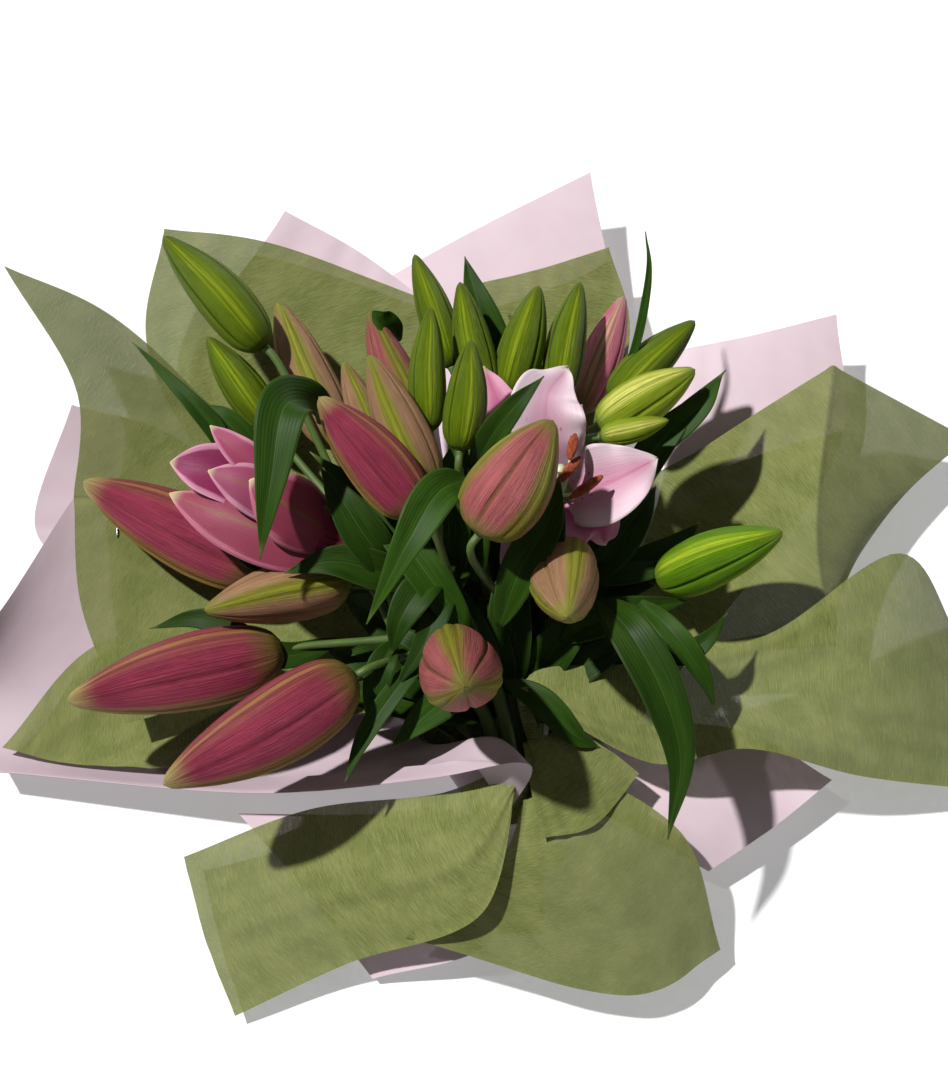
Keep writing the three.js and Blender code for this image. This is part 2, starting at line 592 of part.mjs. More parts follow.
for (const sheet of SHEETS) {
  const solid = sheetSolid(sheet, 0);
  const keepOut = sheetSolid(sheet, CLEARANCE);
  const finish = sheet.name.includes('pink') ? FINISHES.pink_paper : FINISHES.green_wrap;
  place(sheet.name, solid, keepOut, finish);
}

// ---------- tie ----------
function tieSolid(grow) {
  const inner = tieInnerRadius - grow;
  const outer = tieOuterRadius + grow;
  const half = TIE_WIDTH / 2 + grow;
  const corner = TIE_THICKNESS / 3;
  const profile = [
    [inner, -half], [outer - corner, -half], [outer, corner - half],
    [outer, half - corner], [outer - corner, half], [inner, half], [inner, -half],
  ].map(([radius, along]) => new THREE.Vector2(radius, along));
  const geometry = new THREE.LatheGeometry(profile, TIE_SIDES);
  geometry.translate(tieCentre.x, tieCentre.y, tieCentre.z);
  return solidOf(geometry);
}

place('tie', tieSolid(0), tieSolid(CLEARANCE), FINISHES.twine);

// ---------- staple in the left-hand sheet ----------
function stapleSolid() {
  const surface = sheetSurface(SHEETS[0]);
  const middle = surface(...STAPLE_PLACE);
  const [u, v] = STAPLE_PLACE;
  const across = surface(u + SAMPLE_STEP, v).sub(surface(u - SAMPLE_STEP, v)).normalize();
  const along = surface(u, v + SAMPLE_STEP).sub(surface(u, v - SAMPLE_STEP));
  const normal = across.clone().cross(along).normalize();
  const side = normal.clone().cross(across).normalize();
  const geometry = new THREE.BoxGeometry(STAPLE_LENGTH, STAPLE_WIRE, STAPLE_WIRE);
  geometry.applyMatrix4(new THREE.Matrix4().makeBasis(across, side, normal));
  const lift = SHEET_THICKNESS / 2 + CLEARANCE + STAPLE_WIRE;
  middle.addScaledVector(normal, lift);
  geometry.translate(middle.x, middle.y, middle.z);
  return solidOf(geometry);
}

place('staple', stapleSolid(), stapleSolid(), FINISHES.steel);

// ---------- leaves ----------
for (const { name, width, path } of LEAVES) {
  const points = path.map(spot);
  const solid = bladeSolid(points, width, LEAF_FOLD, LEAF_STEPS, LEAF_THICKNESS, 0);
  const keepOut = bladeSolid(points, width, LEAF_FOLD, LEAF_STEPS, LEAF_THICKNESS, CLEARANCE);
  place(name, solid, keepOut, FINISHES.leaf);
}

// The origin is under the middle of the bunch, on the surface that it lies on.
const box = new THREE.Box3().setFromObject(bunch);
const centre = box.getCenter(new THREE.Vector3());
bunch.position.set(-centre.x, -centre.y, -box.min.z);
bunch.updateMatrixWorld(true);

export default bunch;
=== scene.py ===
"""Looks of a wrapped bunch of lilies lying on its back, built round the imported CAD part.

Points are in millimetres in the bunch's own layout, +Y towards the heads and +Z up; metres()
carries them to the frame. Every shape here follows the CAD node that it stands for.
"""
import math

import bpy
import numpy as np
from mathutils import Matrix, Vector


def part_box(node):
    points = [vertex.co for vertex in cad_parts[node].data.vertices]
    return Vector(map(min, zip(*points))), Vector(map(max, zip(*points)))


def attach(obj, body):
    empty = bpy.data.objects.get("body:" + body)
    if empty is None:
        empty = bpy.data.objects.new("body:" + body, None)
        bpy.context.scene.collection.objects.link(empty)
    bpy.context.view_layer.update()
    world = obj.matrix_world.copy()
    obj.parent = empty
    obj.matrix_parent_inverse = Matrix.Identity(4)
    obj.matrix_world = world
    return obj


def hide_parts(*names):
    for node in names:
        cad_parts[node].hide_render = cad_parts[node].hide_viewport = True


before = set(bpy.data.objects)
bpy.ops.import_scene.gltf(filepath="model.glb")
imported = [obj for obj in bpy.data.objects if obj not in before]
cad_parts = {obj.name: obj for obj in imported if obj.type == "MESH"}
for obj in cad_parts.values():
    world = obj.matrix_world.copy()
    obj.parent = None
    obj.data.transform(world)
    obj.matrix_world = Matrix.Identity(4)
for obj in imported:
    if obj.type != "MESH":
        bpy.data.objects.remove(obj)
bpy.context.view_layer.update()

# ---------- sizes, in millimetres ----------
SHEET_THICKNESS = 0.4
SHEET_PITCH = 1.4            # from one layer of wrap to the next inside the tie
FIRST_LAYER_RADIUS = 13.35
TIE_CENTRE = np.array([25.0, -135.0, 23.85])
TIE_WIDTH = 9.0
TIE_INNER_RADIUS = 21.45
TIE_OUTER_RADIUS = 23.85
TIE_TURNS = 3
THROAT_LEAD = 9.0
STEM_DIAMETER = 8.0
STEM_GAP = 0.4
STEM_END = -178.0
STALK_DIAMETER = 4.2
STALK_STRAIGHT = 9.0
LEAF_THICKNESS = 0.8
LEAF_FOLD = 0.35
TEPAL_THICKNESS = 1.1
TEPAL_FOLD = 0.3
FILAMENT_DIAMETER = 1.7
ANTHER_DIAMETER = 4.8
STAPLE_LENGTH = 11.0
STAPLE_WIRE = 0.8
STAPLE_PLACE = (0.28, 0.93)

# Stems: name, angle of its place in the tie (None is the middle) and its route.
STEMS = [
    ('stem_left', 180,
     [[14, -90, 31], [4, -60, 50], [-20, -36, 66], [-42, -22, 74]]),
    ('stem_far_left', 240,
     [[16, -90, 20], [0, -50, 32], [-30, -5, 44], [-68, 46, 54]]),
    ('stem_inner_left', 120,
     [[20, -85, 36], [10, -45, 58], [-18, 12, 94]]),
    ('stem_middle', None,
     [[25, -85, 26], [16, -35, 44], [2, 28, 72], [-4, 64, 80]]),
    ('stem_inner_right', 300,
     [[30, -90, 17], [32, -30, 32], [30, 30, 50], [28, 72, 60]]),
    ('stem_far_right', 60,
     [[32, -85, 31], [38, -35, 46], [42, 10, 60], [68, 52, 74]]),
    ('stem_right', 0,
     [[38, -90, 25], [52, -50, 38], [66, -18, 54]]),
]

# Buds: name, look, stem, fork, length, girth, base, heading, rise, turn of its first rib.
BUDS = [
    ('bud_green_far_left', 'green', 1, 0.97, 81, 29, [-113, 132, 84], 133, 8, 90),
    ('bud_green_low_left', 'green', 1, 0.9, 60, 23, [-112, 97, 50], 126, 8, 95),
    ('bud_blush_back', 'blush', 1, 1, 88, 31, [-74, 84, 54], 113, 4, 86),
    ('bud_rose_long', 'rose', 1, 0.78, 113, 41, [-113, 14, 54], 153, -2, 172),
    ('bud_blush_small', 'blush', 2, 0.93, 56, 19, [-50, 70, 84], 111, 5, 83),
    ('bud_blush_tall', 'blush', 2, 1, 76, 27, [-23, 46, 116], 115, 11, 105),
    ('bud_rose_behind', 'peach', 3, 0.9, 74, 25, [-27, 84, 80], 114, 3, 76),
    ('bud_rose_centre', 'rose', 2, 0.9, 78, 33, [-28, 30, 130], 132, 12, 172),
    ('bud_green_first', 'green', 3, 0.97, 66, 20, [-12, 122, 80], 108, 2, 95),
    ('bud_green_second', 'green', 3, 0.94, 66, 20, [-24, 78, 112], 89, 5, 81),
    ('bud_green_third', 'green', 3, 1, 66, 22, [6, 100, 90], 102, 6, 101),
    ('bud_green_front', 'green', 3, 0.86, 56, 22, [-7, 60, 142], 84, 17, 78),
    ('bud_green_fourth', 'green', 4, 1, 62, 25, [18, 104, 84], 74, 11, 100),
    ('bud_green_fifth', 'green', 4, 0.96, 65, 22, [45, 104, 84], 79, 2, 84),
    ('bud_rose_far', 'pink', 4, 0.92, 70, 24, [58, 104, 54], 69, 2, 95),
    ('bud_rose_front', 'peach', 4, 0.64, 68, 42, [3, 15, 150], 55, 22, 38),
    ('bud_green_back_right', 'green', 5, 1, 62, 23, [74, 103, 80], 43, 9, 82),
    ('bud_lime', 'lime', 5, 0.96, 58, 27, [66, 82, 106], 29, 12, 111),
    ('bud_lime_small', 'lime', 5, 0.9, 36, 14, [66, 73, 119], 12, 8, 88),
    ('bud_nodding', 'blush', 6, 1, 98, 36, [49, 16, 84], -94, 61, 105),
    ('bud_lime_right', 'vivid', 6, 0.93, 76, 30, [99, 6, 72], 16, 34, 105),
    ('bud_facing', 'peach', 0, 0.8, 98, 42, [-10, -38, 90], -80, 72, 84),
    ('bud_blush_left', 'blush', 0, 1, 78, 32, [-67, 3, 84], -165, 16, 98),
    ('bud_rose_left', 'rose', 0, 0.97, 115, 41, [-101, -33, 78], -166, 4, 172),
    ('bud_rose_lowest', 'rose', 0, 0.9, 112, 42, [-62, -50, 100], -149, 6, 172),
]

# A bud's outline: share of its length from the base, and share of its greatest radius there.
BUD_OUTLINE = [
    (0, 0.3), (0.05, 0.64), (0.16, 0.9), (0.34, 1), (0.56, 0.91), (0.76, 0.66), (0.9, 0.38),
    (0.97, 0.2), (1, 0.02),
]

# Sheets: name, layer counted out from the stems, arc inside the tie in degrees, rows of points.
SHEETS = [
    ('wrap_green_left', 0, [150, 205], [
        [[0, -78, 34], [-4, -70, 24], [-8, -58, 15], [-12, -46, 13], [-16, -34, 14]],
        [[-62, -41, 26], [-77, -6, 18], [-86, 29, 14], [-98, 63, 16], [-131, 96, 30]],
        [[-133, -53, 32], [-151, 4, 22], [-158, 61, 20], [-159, 100, 24], [-200, 157, 62]],
        [[-188, -66, 40], [-215, 0, 38], [-221, 59, 36], [-219, 115, 46], [-256, 179, 80]],
    ]),
    ('wrap_green_back_left', 1, [208, 268], [
        [[-92, 7, 8], [-52, 7, 9], [-2, 7, 9]],
        [[-184, 147, 24], [-127, 121, 14], [-25, 110, 11]],
        [[-175, 215, 38], [-118, 208, 36], [-31, 179, 24]],
    ]),
    ('wrap_green_back_right', 2, [266, 322], [
        [[6, 30, 6], [28, 30, 6], [54, 36, 8]],
        [[-11, 110, 14], [32, 120, 16], [88, 158, 28]],
        [[3, 186, 28], [40, 194, 32], [76, 204, 38]],
    ]),
    ('wrap_green_left_low', 2, [140, 186], [
        [[0, -84, 34], [-8, -78, 20], [-14, -68, 13]],
        [[-46, -58, 30], [-74, -40, 18], [-91, -14, 14]],
        [[-133, -85, 26], [-173, -61, 16], [-205, -17, 14]],
        [[-176, -89, 24], [-226, -85, 20], [-258, -77, 20]],
    ]),
    ('wrap_green_right_high', 0, [15, -40], [
        [[60, -52, 20], [62, -46, 27], [68, 2, 22], [70, 50, 16]],
        [[125, -21, 20], [123, -30, 36], [136, 26, 26], [132, 92, 32]],
        [[185, -12, 30], [195, -25, 48], [184, 28, 62], [195, 125, 72]],
        [[193, 6, 16], [200, 12, 28], [236, 60, 30], [277, 96, 25]],
    ]),
    ('wrap_green_right_low', 1, [70, 25], [
        [[31, -88, 43], [35, -86, 44], [39, -84, 42]],
        [[27, -60, 65], [24, -52, 68], [29, -45, 64]],
        [[96, -91, 63], [88, -65, 66], [92, -36, 58]],
        [[143, -83, 67], [153, -52, 50], [158, -20, 53]],
        [[207, -95, 42], [219, -55, 46], [229, 21, 70]],
        [[279, -100, 16], [289, -61, 16], [268, -18, 25]],
    ]),
    ('wrap_green_front_middle', 2, [76, 50], [
        [[28, -91, 50], [35, -88, 51], [42, -84, 50]],
        [[26, -80, 60], [35, -77, 61], [48, -72, 58]],
        [[30, -105, 64], [48, -97, 63], [72, -83, 57]],
        [[36, -130, 62], [62, -124, 60], [88, -95, 54]],
    ]),
    ('wrap_green_front_right', 3, [80, 50], [
        [[27, -108, 55], [37, -104, 56], [48, -96, 53]],
        [[16, -138, 57], [45, -138, 56], [109, -125, 50]],
        [[-37, -180, 38], [88, -210, 26], [133, -186, 16]],
    ]),
    ('wrap_green_front_left', 2, [84, 120], [
        [[25, -94, 64], [23, -101, 65], [21, -108, 65]],
        [[-18, -106, 58], [-6, -136, 63], [5, -168, 58]],
        [[-89, -112, 32], [-83, -155, 28], [-69, -194, 20]],
        [[-158, -136, 14], [-146, -178, 12], [-129, -221, 8]],
    ]),
    ('paper_pink_back_left', 3, [208, 272], [
        [[-86, 8, 5], [-41, 8, 5], [3, 8, 5]],
        [[-162, 135, 9], [-93, 124, 6], [-25, 106, 6]],
        [[-108, 230, 26], [-68, 209, 20], [-28, 181, 14]],
    ]),
    ('paper_pink_back_middle', 4, [240, 305], [
        [[-19, 8, 1], [15, 14, 1], [48, 25, 1]],
        [[-36, 107, 1], [32, 129, 4], [86, 122, 8]],
        [[-57, 193, 4], [6, 225, 16], [66, 248, 40]],
    ]),
    ('paper_pink_back_right', 3, [300, 340], [
        [[70, -15, 4], [96, -15, 4], [126, -18, 5]],
        [[104, 65, 7], [150, 76, 10], [207, 97, 18]],
        [[112, 150, 14], [156, 156, 25], [203, 164, 40]],
    ]),
    ('paper_pink_left', 4, [112, 196], [
        [[-2, -92, 75], [29, -94, 84], [14, -80, 76], [-16, -86, 34], [-24, -76, 6]],
        [[-24, -92, 67], [-23, -100, 75], [-30, -88, 44], [-42, -66, 12], [-64, -28, 4]],
        [[-117, -94, 24], [-114, -104, 40], [-120, -90, 16], [-152, -40, 7], [-190, 96, 5]],
        [[-266, -82, 10], [-265, -90, 22], [-268, -76, 10], [-269, -44, 9], [-267, -12, 30]],
    ]),
    ('paper_pink_far_left', 5, [172, 212], [
        [[-40, -60, 1], [-34, -54, 1], [-28, -48, 1]],
        [[-154, 8, 1], [-160, 43, 1], [-167, 101, 1]],
        [[-236, 31, 1], [-248, 51, 4], [-228, 119, 13]],
    ]),
    ('paper_pink_front', 5, [105, 70], [
        [[11, -122, 49.5], [19, -122, 51.5], [28, -121, 52.5]],
        [[-14, -113, 46], [-2, -135, 49], [16, -152, 47]],
        [[-60, -114, 25], [-40, -147, 26], [6, -184, 26]],
        [[-129, -112, 9], [-95, -150, 8], [-55, -201, 4]],
    ]),
    ('paper_pink_front_right', 4, [40, -10], [
        [[46, -107, 30], [55, -90, 28], [63, -74, 26]],
        [[95, -128, 30], [123, -101, 26], [146, -67, 18]],
        [[127, -144, 18], [162, -121, 20], [195, -95, 22]],
    ]),
]

# The larger leaves: name, width and midrib, from the stem out to the tip.
LEAVES = [
    ('leaf_drooping_left', 29, [[-73, 86, 104], [-87, 87, 138], [-96, 78, 156], [-102, 41, 154], [-108, 3, 142]]),
    ('leaf_centre', 23, [[-3, 43, 148], [-17, 34, 160], [-32, 9, 162], [-54, -30, 142]]),
    ('leaf_upright', 15, [[-2, 50, 122], [8, 63, 152], [21, 77, 166], [35, 91, 170]]),
    ('leaf_behind_front_bud', 22, [[13, -24, 100], [24, 2, 124], [38, 25, 134], [44, 47, 137]]),
    ('leaf_dark', 22, [[1, -31, 84], [-23, 1, 104], [-54, 41, 106], [-86, 68, 106]]),
    ('leaf_drooping_right', 25, [[65, -9, 96], [78, -30, 126], [95, -61, 124], [105, -95, 110], [99, -134, 96]]),
    ('leaf_far_right', 20, [[54, 13, 78], [77, 46, 88], [104, 82, 96], [134, 115, 98]]),
]

# Tepals of the two flowers: width and midrib.
OPEN_TEPALS = [
    (42, [[46, 48, 100], [38, 70, 122], [38, 92, 130], [49, 109, 122]]),
    (24, [[43, 49, 98], [24, 69, 108], [13, 92, 115], [5, 113, 112]]),
    (44, [[46, 46, 100], [60, 46, 112], [78, 52, 120], [95, 61, 120]]),
    (30, [[46, 46, 98], [55, 34, 108], [65, 28, 108], [69, 20, 98]]),
    (24, [[43, 46, 96], [32, 30, 100], [23, 17, 98], [16, 4, 88]]),
    (15, [[45, 50, 98], [47, 72, 92], [51, 87, 88], [58, 99, 86]]),
]
OPENING_TEPALS = [
    (18, [[-86, 27, 106], [-108, 52, 120], [-124, 66, 124], [-137, 78, 122]]),
    (32, [[-82, 30, 100], [-118, 51, 106], [-142, 58, 110], [-159, 62, 108]]),
    (28, [[-74, 27, 108], [-100, 38, 121], [-121, 47, 127], [-137, 53, 126]]),
    (36, [[-64, 15, 98], [-96, 20, 112], [-132, 33, 114], [-160, 47, 100]]),
    (38, [[-66, 22, 97], [-84, 28, 120], [-102, 38, 131], [-115, 47, 131]]),
    (32, [[-86, 28, 95], [-112, 45, 94], [-129, 52, 94], [-142, 57, 96]]),
]
# Stamens: filament and anther.
STAMENS = [
    ([[46, 45, 104], [47, 42, 118], [53, 40, 130]],
     [[49, 37, 131], [66, 49, 131]]),
    ([[46, 45, 104], [48, 50, 120], [50, 62, 132]],
     [[49, 57, 133], [52, 71, 133]]),
    ([[46, 45, 104], [45, 46, 118], [46, 50, 128]],
     [[43, 46, 128], [55, 60, 128]]),
]
OPEN_FLOWER_BASE = [45, 47, 88]
OPENING_BASE = [-60, 20, 92]
# Smaller leaves that the CAD part leaves out: name, width and midrib.
SMALL_LEAVES = [
    ('back_middle', 22, [(24, 98, 50), (12, 133, 64), (2, 161, 72), (-5, 187, 72)]),
    ('grass_right', 5, [(66, 92, 70), (84, 123, 88), (91, 150, 104), (93, 169, 112), (91, 186, 116)]),
    ('low_right', 14, [(87, -7, 84), (103, -26, 96), (118, -46, 92), (127, -65, 80)]),
    ('curled_right', 13, [(88, -26, 70), (108, -37, 88), (121, -30, 92), (133, -15, 88)]),
    ('under_nodding', 14, [(46, 18, 66), (67, 9, 74), (93, 10, 78), (116, 17, 70)]),
    ('left_thin', 12, [(-128, 65, 80), (-138, 84, 92), (-154, 102, 96), (-184, 134, 86)]),
    ('left_dark', 18, [(-114, 65, 70), (-122, 77, 84), (-133, 90, 90), (-144, 99, 88)]),
    ('by_opening', 14, [(-112, 8, 84), (-122, 19, 100), (-131, 28, 108), (-140, 37, 108)]),
    ('cross_left', 22, [(-28, -2, 86), (-49, 4, 104), (-74, 8, 112), (-98, 2, 112)]),
    ('low_left', 16, [(-71, -26, 70), (-102, -36, 80), (-142, -17, 82), (-172, -20, 72)]),
    ('front_low', 12, [(-18, -28, 84), (-41, -56, 90), (-58, -82, 88), (-67, -103, 84)]),
    ('front_low_two', 20, [(-23, -35, 90), (-13, -55, 84), (-28, -69, 74), (-44, -83, 66)]),
    ('front_tip', 16, [(16, -47, 66), (35, -58, 70), (53, -76, 66), (67, -82, 58)]),
    ('beside_facing', 16, [(-41, -29, 88), (-48, -43, 92), (-52, -60, 86), (-55, -78, 78)]),
    ('second_dark', 24, [(-39, 5, 92), (-53, 17, 110), (-67, 37, 118), (-80, 58, 114)]),
    ('right_of_front', 24, [(14, -14, 92), (32, 9, 112), (39, 27, 124), (43, 49, 128)]),
    ('far_upper', 18, [(78, 59, 80), (99, 78, 92), (120, 95, 100), (132, 112, 100)]),
    ('inner_right', 20, [(46, -26, 70), (66, -18, 84), (87, -12, 84), (115, -5, 72)]),
    ('under_facing', 18, [(-2, 15, 80), (-18, -9, 96), (-25, -31, 98), (-41, -55, 88)]),
    ('centre_low', 20, [(-10, 13, 90), (-28, -5, 104), (-38, -21, 104), (-43, -38, 92)]),
    ('fill_one', 24, [(-10, 2, 78), (-13, 26, 96), (-13, 52, 102), (-8, 80, 98)]),
    ('fill_two', 24, [(2, 4, 76), (-3, 30, 88), (-5, 58, 92), (0, 86, 88)]),
    ('fill_three', 26, [(56, 2, 70), (72, 22, 76), (86, 40, 76), (98, 58, 70)]),
    ('fill_four', 24, [(60, -4, 66), (82, 8, 68), (104, 22, 66), (122, 40, 60)]),
    ('fill_five', 24, [(-30, 20, 76), (-34, 44, 84), (-42, 66, 84), (-52, 88, 78)]),
    ('top_left', 14, [(-40, 140, 70), (-46, 144, 84), (-51, 146, 90), (-55, 150, 92)]),
]

# Papers lying in shade: painted shade, as shares of the other papers' pink. The paper itself is likely the same
# pink.
PAPER_SHADE_TONES = {'paper_pink_left': 0.74, 'paper_pink_far_left': 0.80}

# Broad leaves low among the stems: heading, reach, height and width.
LOW_LEAVES = [
    (8, 92, 46, 24), (24, 104, 52, 26), (42, 96, 50, 24), (60, 112, 56, 26), (78, 100, 54, 24),
    (96, 118, 60, 26), (112, 108, 60, 28), (128, 122, 62, 26), (144, 112, 58, 26),
    (160, 108, 56, 24), (174, 96, 52, 24), (52, 74, 68, 24), (88, 80, 72, 26), (120, 84, 76, 26),
    (150, 82, 72, 24), (30, 76, 62, 22), (104, 62, 62, 24), (70, 58, 52, 24), (136, 60, 58, 24),
]
LOW_LEAVES_START = [18, -62, 34]

# Sheets with a sharp fold: which rows, counted from inside the tie, and which points of a row.
SHARP_FOLDS = {
    'wrap_green_right_high': ((4,), (1,)),
    'paper_pink_left': ((), (1,)),
    'wrap_green_left': ((), (2,)),
}

# The cut size of the part of each sheet that is modelled: width and length, and its flat area.
FLAT_SIZES = {
    'wrap_green_left': (0.220, 0.455, 0.0305),
    'wrap_green_back_left': (0.170, 0.430, 0.0330),
    'wrap_green_back_right': (0.115, 0.360, 0.0176),
    'wrap_green_left_low': (0.105, 0.375, 0.0148),
    'wrap_green_right_high': (0.180, 0.460, 0.0290),
    'wrap_green_right_low': (0.125, 0.405, 0.0205),
    'wrap_green_front_middle': (0.070, 0.130, 0.0032),
    'wrap_green_front_right': (0.185, 0.200, 0.0128),
    'wrap_green_front_left': (0.095, 0.275, 0.0149),
    'paper_pink_back_left': (0.145, 0.450, 0.0310),
    'paper_pink_back_middle': (0.145, 0.410, 0.0299),
    'paper_pink_back_right': (0.110, 0.370, 0.0186),
    'paper_pink_left': (0.255, 0.460, 0.0473),
    'paper_pink_far_left': (0.100, 0.380, 0.0156),
    'paper_pink_front': (0.120, 0.180, 0.0098),
    'paper_pink_front_right': (0.085, 0.220, 0.0081),
}


# ---------- places and curves ----------
tie_low, tie_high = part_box("tie")
SHIFT = (np.array(tie_low) + np.array(tie_high)) * 500 - TIE_CENTRE
MM = 0.001


def metres(points):
    return (np.asarray(points, float) + SHIFT) * MM


def unit(vectors):
    return vectors / np.maximum(np.linalg.norm(vectors, axis=-1, keepdims=True), 1e-9)


def spline(points, shares):
    """Centripetal Catmull-Rom curve through points, at shares of the way along it."""
    points = np.asarray(points, float)
    last = len(points) - 2
    first_ghost = 2 * points[:1] - points[1:2]
    last_ghost = 2 * points[-1:] - points[-2:-1]
    padded = np.concatenate([first_ghost, points, last_ghost])
    place = np.clip(np.asarray(shares, float), 0, 1) * (last + 1)
    span = np.minimum(place.astype(int), last)
    t = (place - span).reshape((-1,) + (1,) * (points.ndim - 1))
    before, start, end, after = (padded[span + k] for k in range(4))

    def knot(a, b):
        return np.sqrt(np.maximum(np.linalg.norm(b - a, axis=-1, keepdims=True), 1e-6))

    d0, d1, d2 = knot(before, start), knot(start, end), knot(end, after)
    leave = ((start - before) / d0 - (end - before) / (d0 + d1) + (end - start) / d1) * d1
    arrive = ((end - start) / d1 - (after - start) / (d1 + d2) + (after - end) / d2) * d1
    t2, t3 = t ** 2, t ** 3
    return ((2 * t3 - 3 * t2 + 1) * start + (t3 - 2 * t2 + t) * leave
            + (3 * t2 - 2 * t3) * end + (t3 - t2) * arrive)


def smooth(low, high, value):
    t = np.clip((value - low) / (high - low), 0, 1)
    return t * t * (3 - 2 * t)


def direction(heading, rise):
    turn, lift = math.radians(heading), math.radians(rise)
    return np.array([
        math.cos(turn) * math.cos(lift), math.sin(turn) * math.cos(lift), math.sin(lift),
    ])


# ---------- meshes ----------
def make_object(name, points, faces, material, attributes=None, sharp=None):
    """A smooth-shaded mesh that rides on the one body. attributes hold one vector per point."""
    mesh = bpy.data.meshes.new(name)
    mesh.from_pydata(metres(points).tolist(), [], [tuple(map(int, face)) for face in faces])
    for key, values in (attributes or {}).items():
        layer = mesh.attributes.new(key, "FLOAT_VECTOR", "POINT")
        layer.data.foreach_set("vector", np.asarray(values, np.float32).ravel())
    mesh.shade_smooth()
    if sharp is not None:
        crease = np.zeros(len(mesh.edges), bool)
        ends = np.empty(len(mesh.edges) * 2, int)
        mesh.edges.foreach_get("vertices", ends)
        ends = ends.reshape(-1, 2)
        crease = sharp[ends[:, 0]] & sharp[ends[:, 1]]
        layer = mesh.attributes.new("sharp_edge", "BOOLEAN", "EDGE")
        layer.data.foreach_set("value", crease)
    mesh.materials.append(material)
    piece = bpy.data.objects.new(name, mesh)
    bpy.context.collection.objects.link(piece)
    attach(piece, "root")
    return piece


def grid_faces(rows, columns, closed=False, offset=0, flip=False):
    faces = []
    width = columns if closed else columns - 1
    for r in range(rows - 1):
        for c in range(width):
            d = (c + 1) % columns
            face = (offset + r * columns + c, offset + r * columns + d,
                    offset + (r + 1) * columns + d, offset + (r + 1) * columns + c)
            faces.append(face[::-1] if flip else face)
    return faces


def grid_normals(grid):
    across = np.gradient(grid, axis=1)
    along = np.gradient(grid, axis=0)
    return unit(np.cross(across, along))


def slab(grid, thickness):
    """Closed thin solid on a grid of points (along, across). thickness may vary over the grid."""
    rows, columns = grid.shape[:2]
    normal = grid_normals(grid)
    half = np.broadcast_to(np.asarray(thickness, float), (rows, columns))[..., None] / 2
    top = (grid + normal * half).reshape(-1, 3)
    bottom = (grid - normal * half).reshape(-1, 3)
    count = rows * columns
    faces = grid_faces(rows, columns) + grid_faces(rows, columns, offset=count, flip=True)
    rim = (
        [r * columns for r in range(rows)][::-1]
        + [c for c in range(1, columns)]
        + [r * columns + columns - 1 for r in range(1, rows)]
        + [(rows - 1) * columns + c for c in range(1, columns - 1)][::-1]
    )
    for a, b in zip(rim, rim[1:] + rim[:1]):
        faces.append((b, a, a + count, b + count))
    sharp = np.zeros(2 * count, bool)
    sharp[rim] = True
    sharp[np.array(rim) + count] = True
    return np.concatenate([top, bottom]), faces, sharp


def lathe(rings, cap_start, cap_end):
    """Closed surface through rings (n, m, 3) and its two end points."""
    count, sides = rings.shape[:2]
    points = np.concatenate([rings.reshape(-1, 3), [cap_start, cap_end]])
    faces = grid_faces(count, sides, closed=True)
    start, end = count * sides, count * sides + 1
    for c in range(sides):
        d = (c + 1) % sides
        faces.append((start, d, c))
        faces.append((end, (count - 1) * sides + c, (count - 1) * sides + d))
    return points, faces


def frames_along(path):
    """Tangent, side and up vectors along a path, without twist."""
    tangent = unit(np.gradient(path, axis=0))
    start = np.cross(tangent[0], (0, 0, 1))
    if np.linalg.norm(start) < 0.1:
        start = np.cross(tangent[0], (0, 1, 0))
    side = [unit(start)]
    for t in tangent[1:]:
        side.append(unit(side[-1] - t * np.dot(side[-1], t)))
    side = np.array(side)
    return tangent, side, np.cross(side, tangent)


def tube(path, radii, sides, wobble=None):
    tangent, side, up = frames_along(path)
    angle = np.linspace(0, 2 * math.pi, sides, endpoint=False)
    ring = np.cos(angle)[None, :, None] * side[:, None] + np.sin(angle)[None, :, None] * up[:, None]
    size = np.broadcast_to(np.asarray(radii, float), (len(path),))[:, None]
    if wobble is not None:
        size = size * wobble(np.linspace(0, 1, len(path))[:, None], angle[None])
    rings = path[:, None] + ring * np.broadcast_to(size, (len(path), sides))[..., None]
    return lathe(rings, path[0], path[-1])


def join(parts):
    """Joins (points, faces, attribute) triples into one."""
    points, faces, values, offset = [], [], [], 0
    for part_points, part_faces, part_values in parts:
        points.append(part_points)
        values.append(part_values)
        faces += [tuple(i + offset for i in face) for face in part_faces]
        offset += len(part_points)
    return np.concatenate(points), faces, np.concatenate(values)

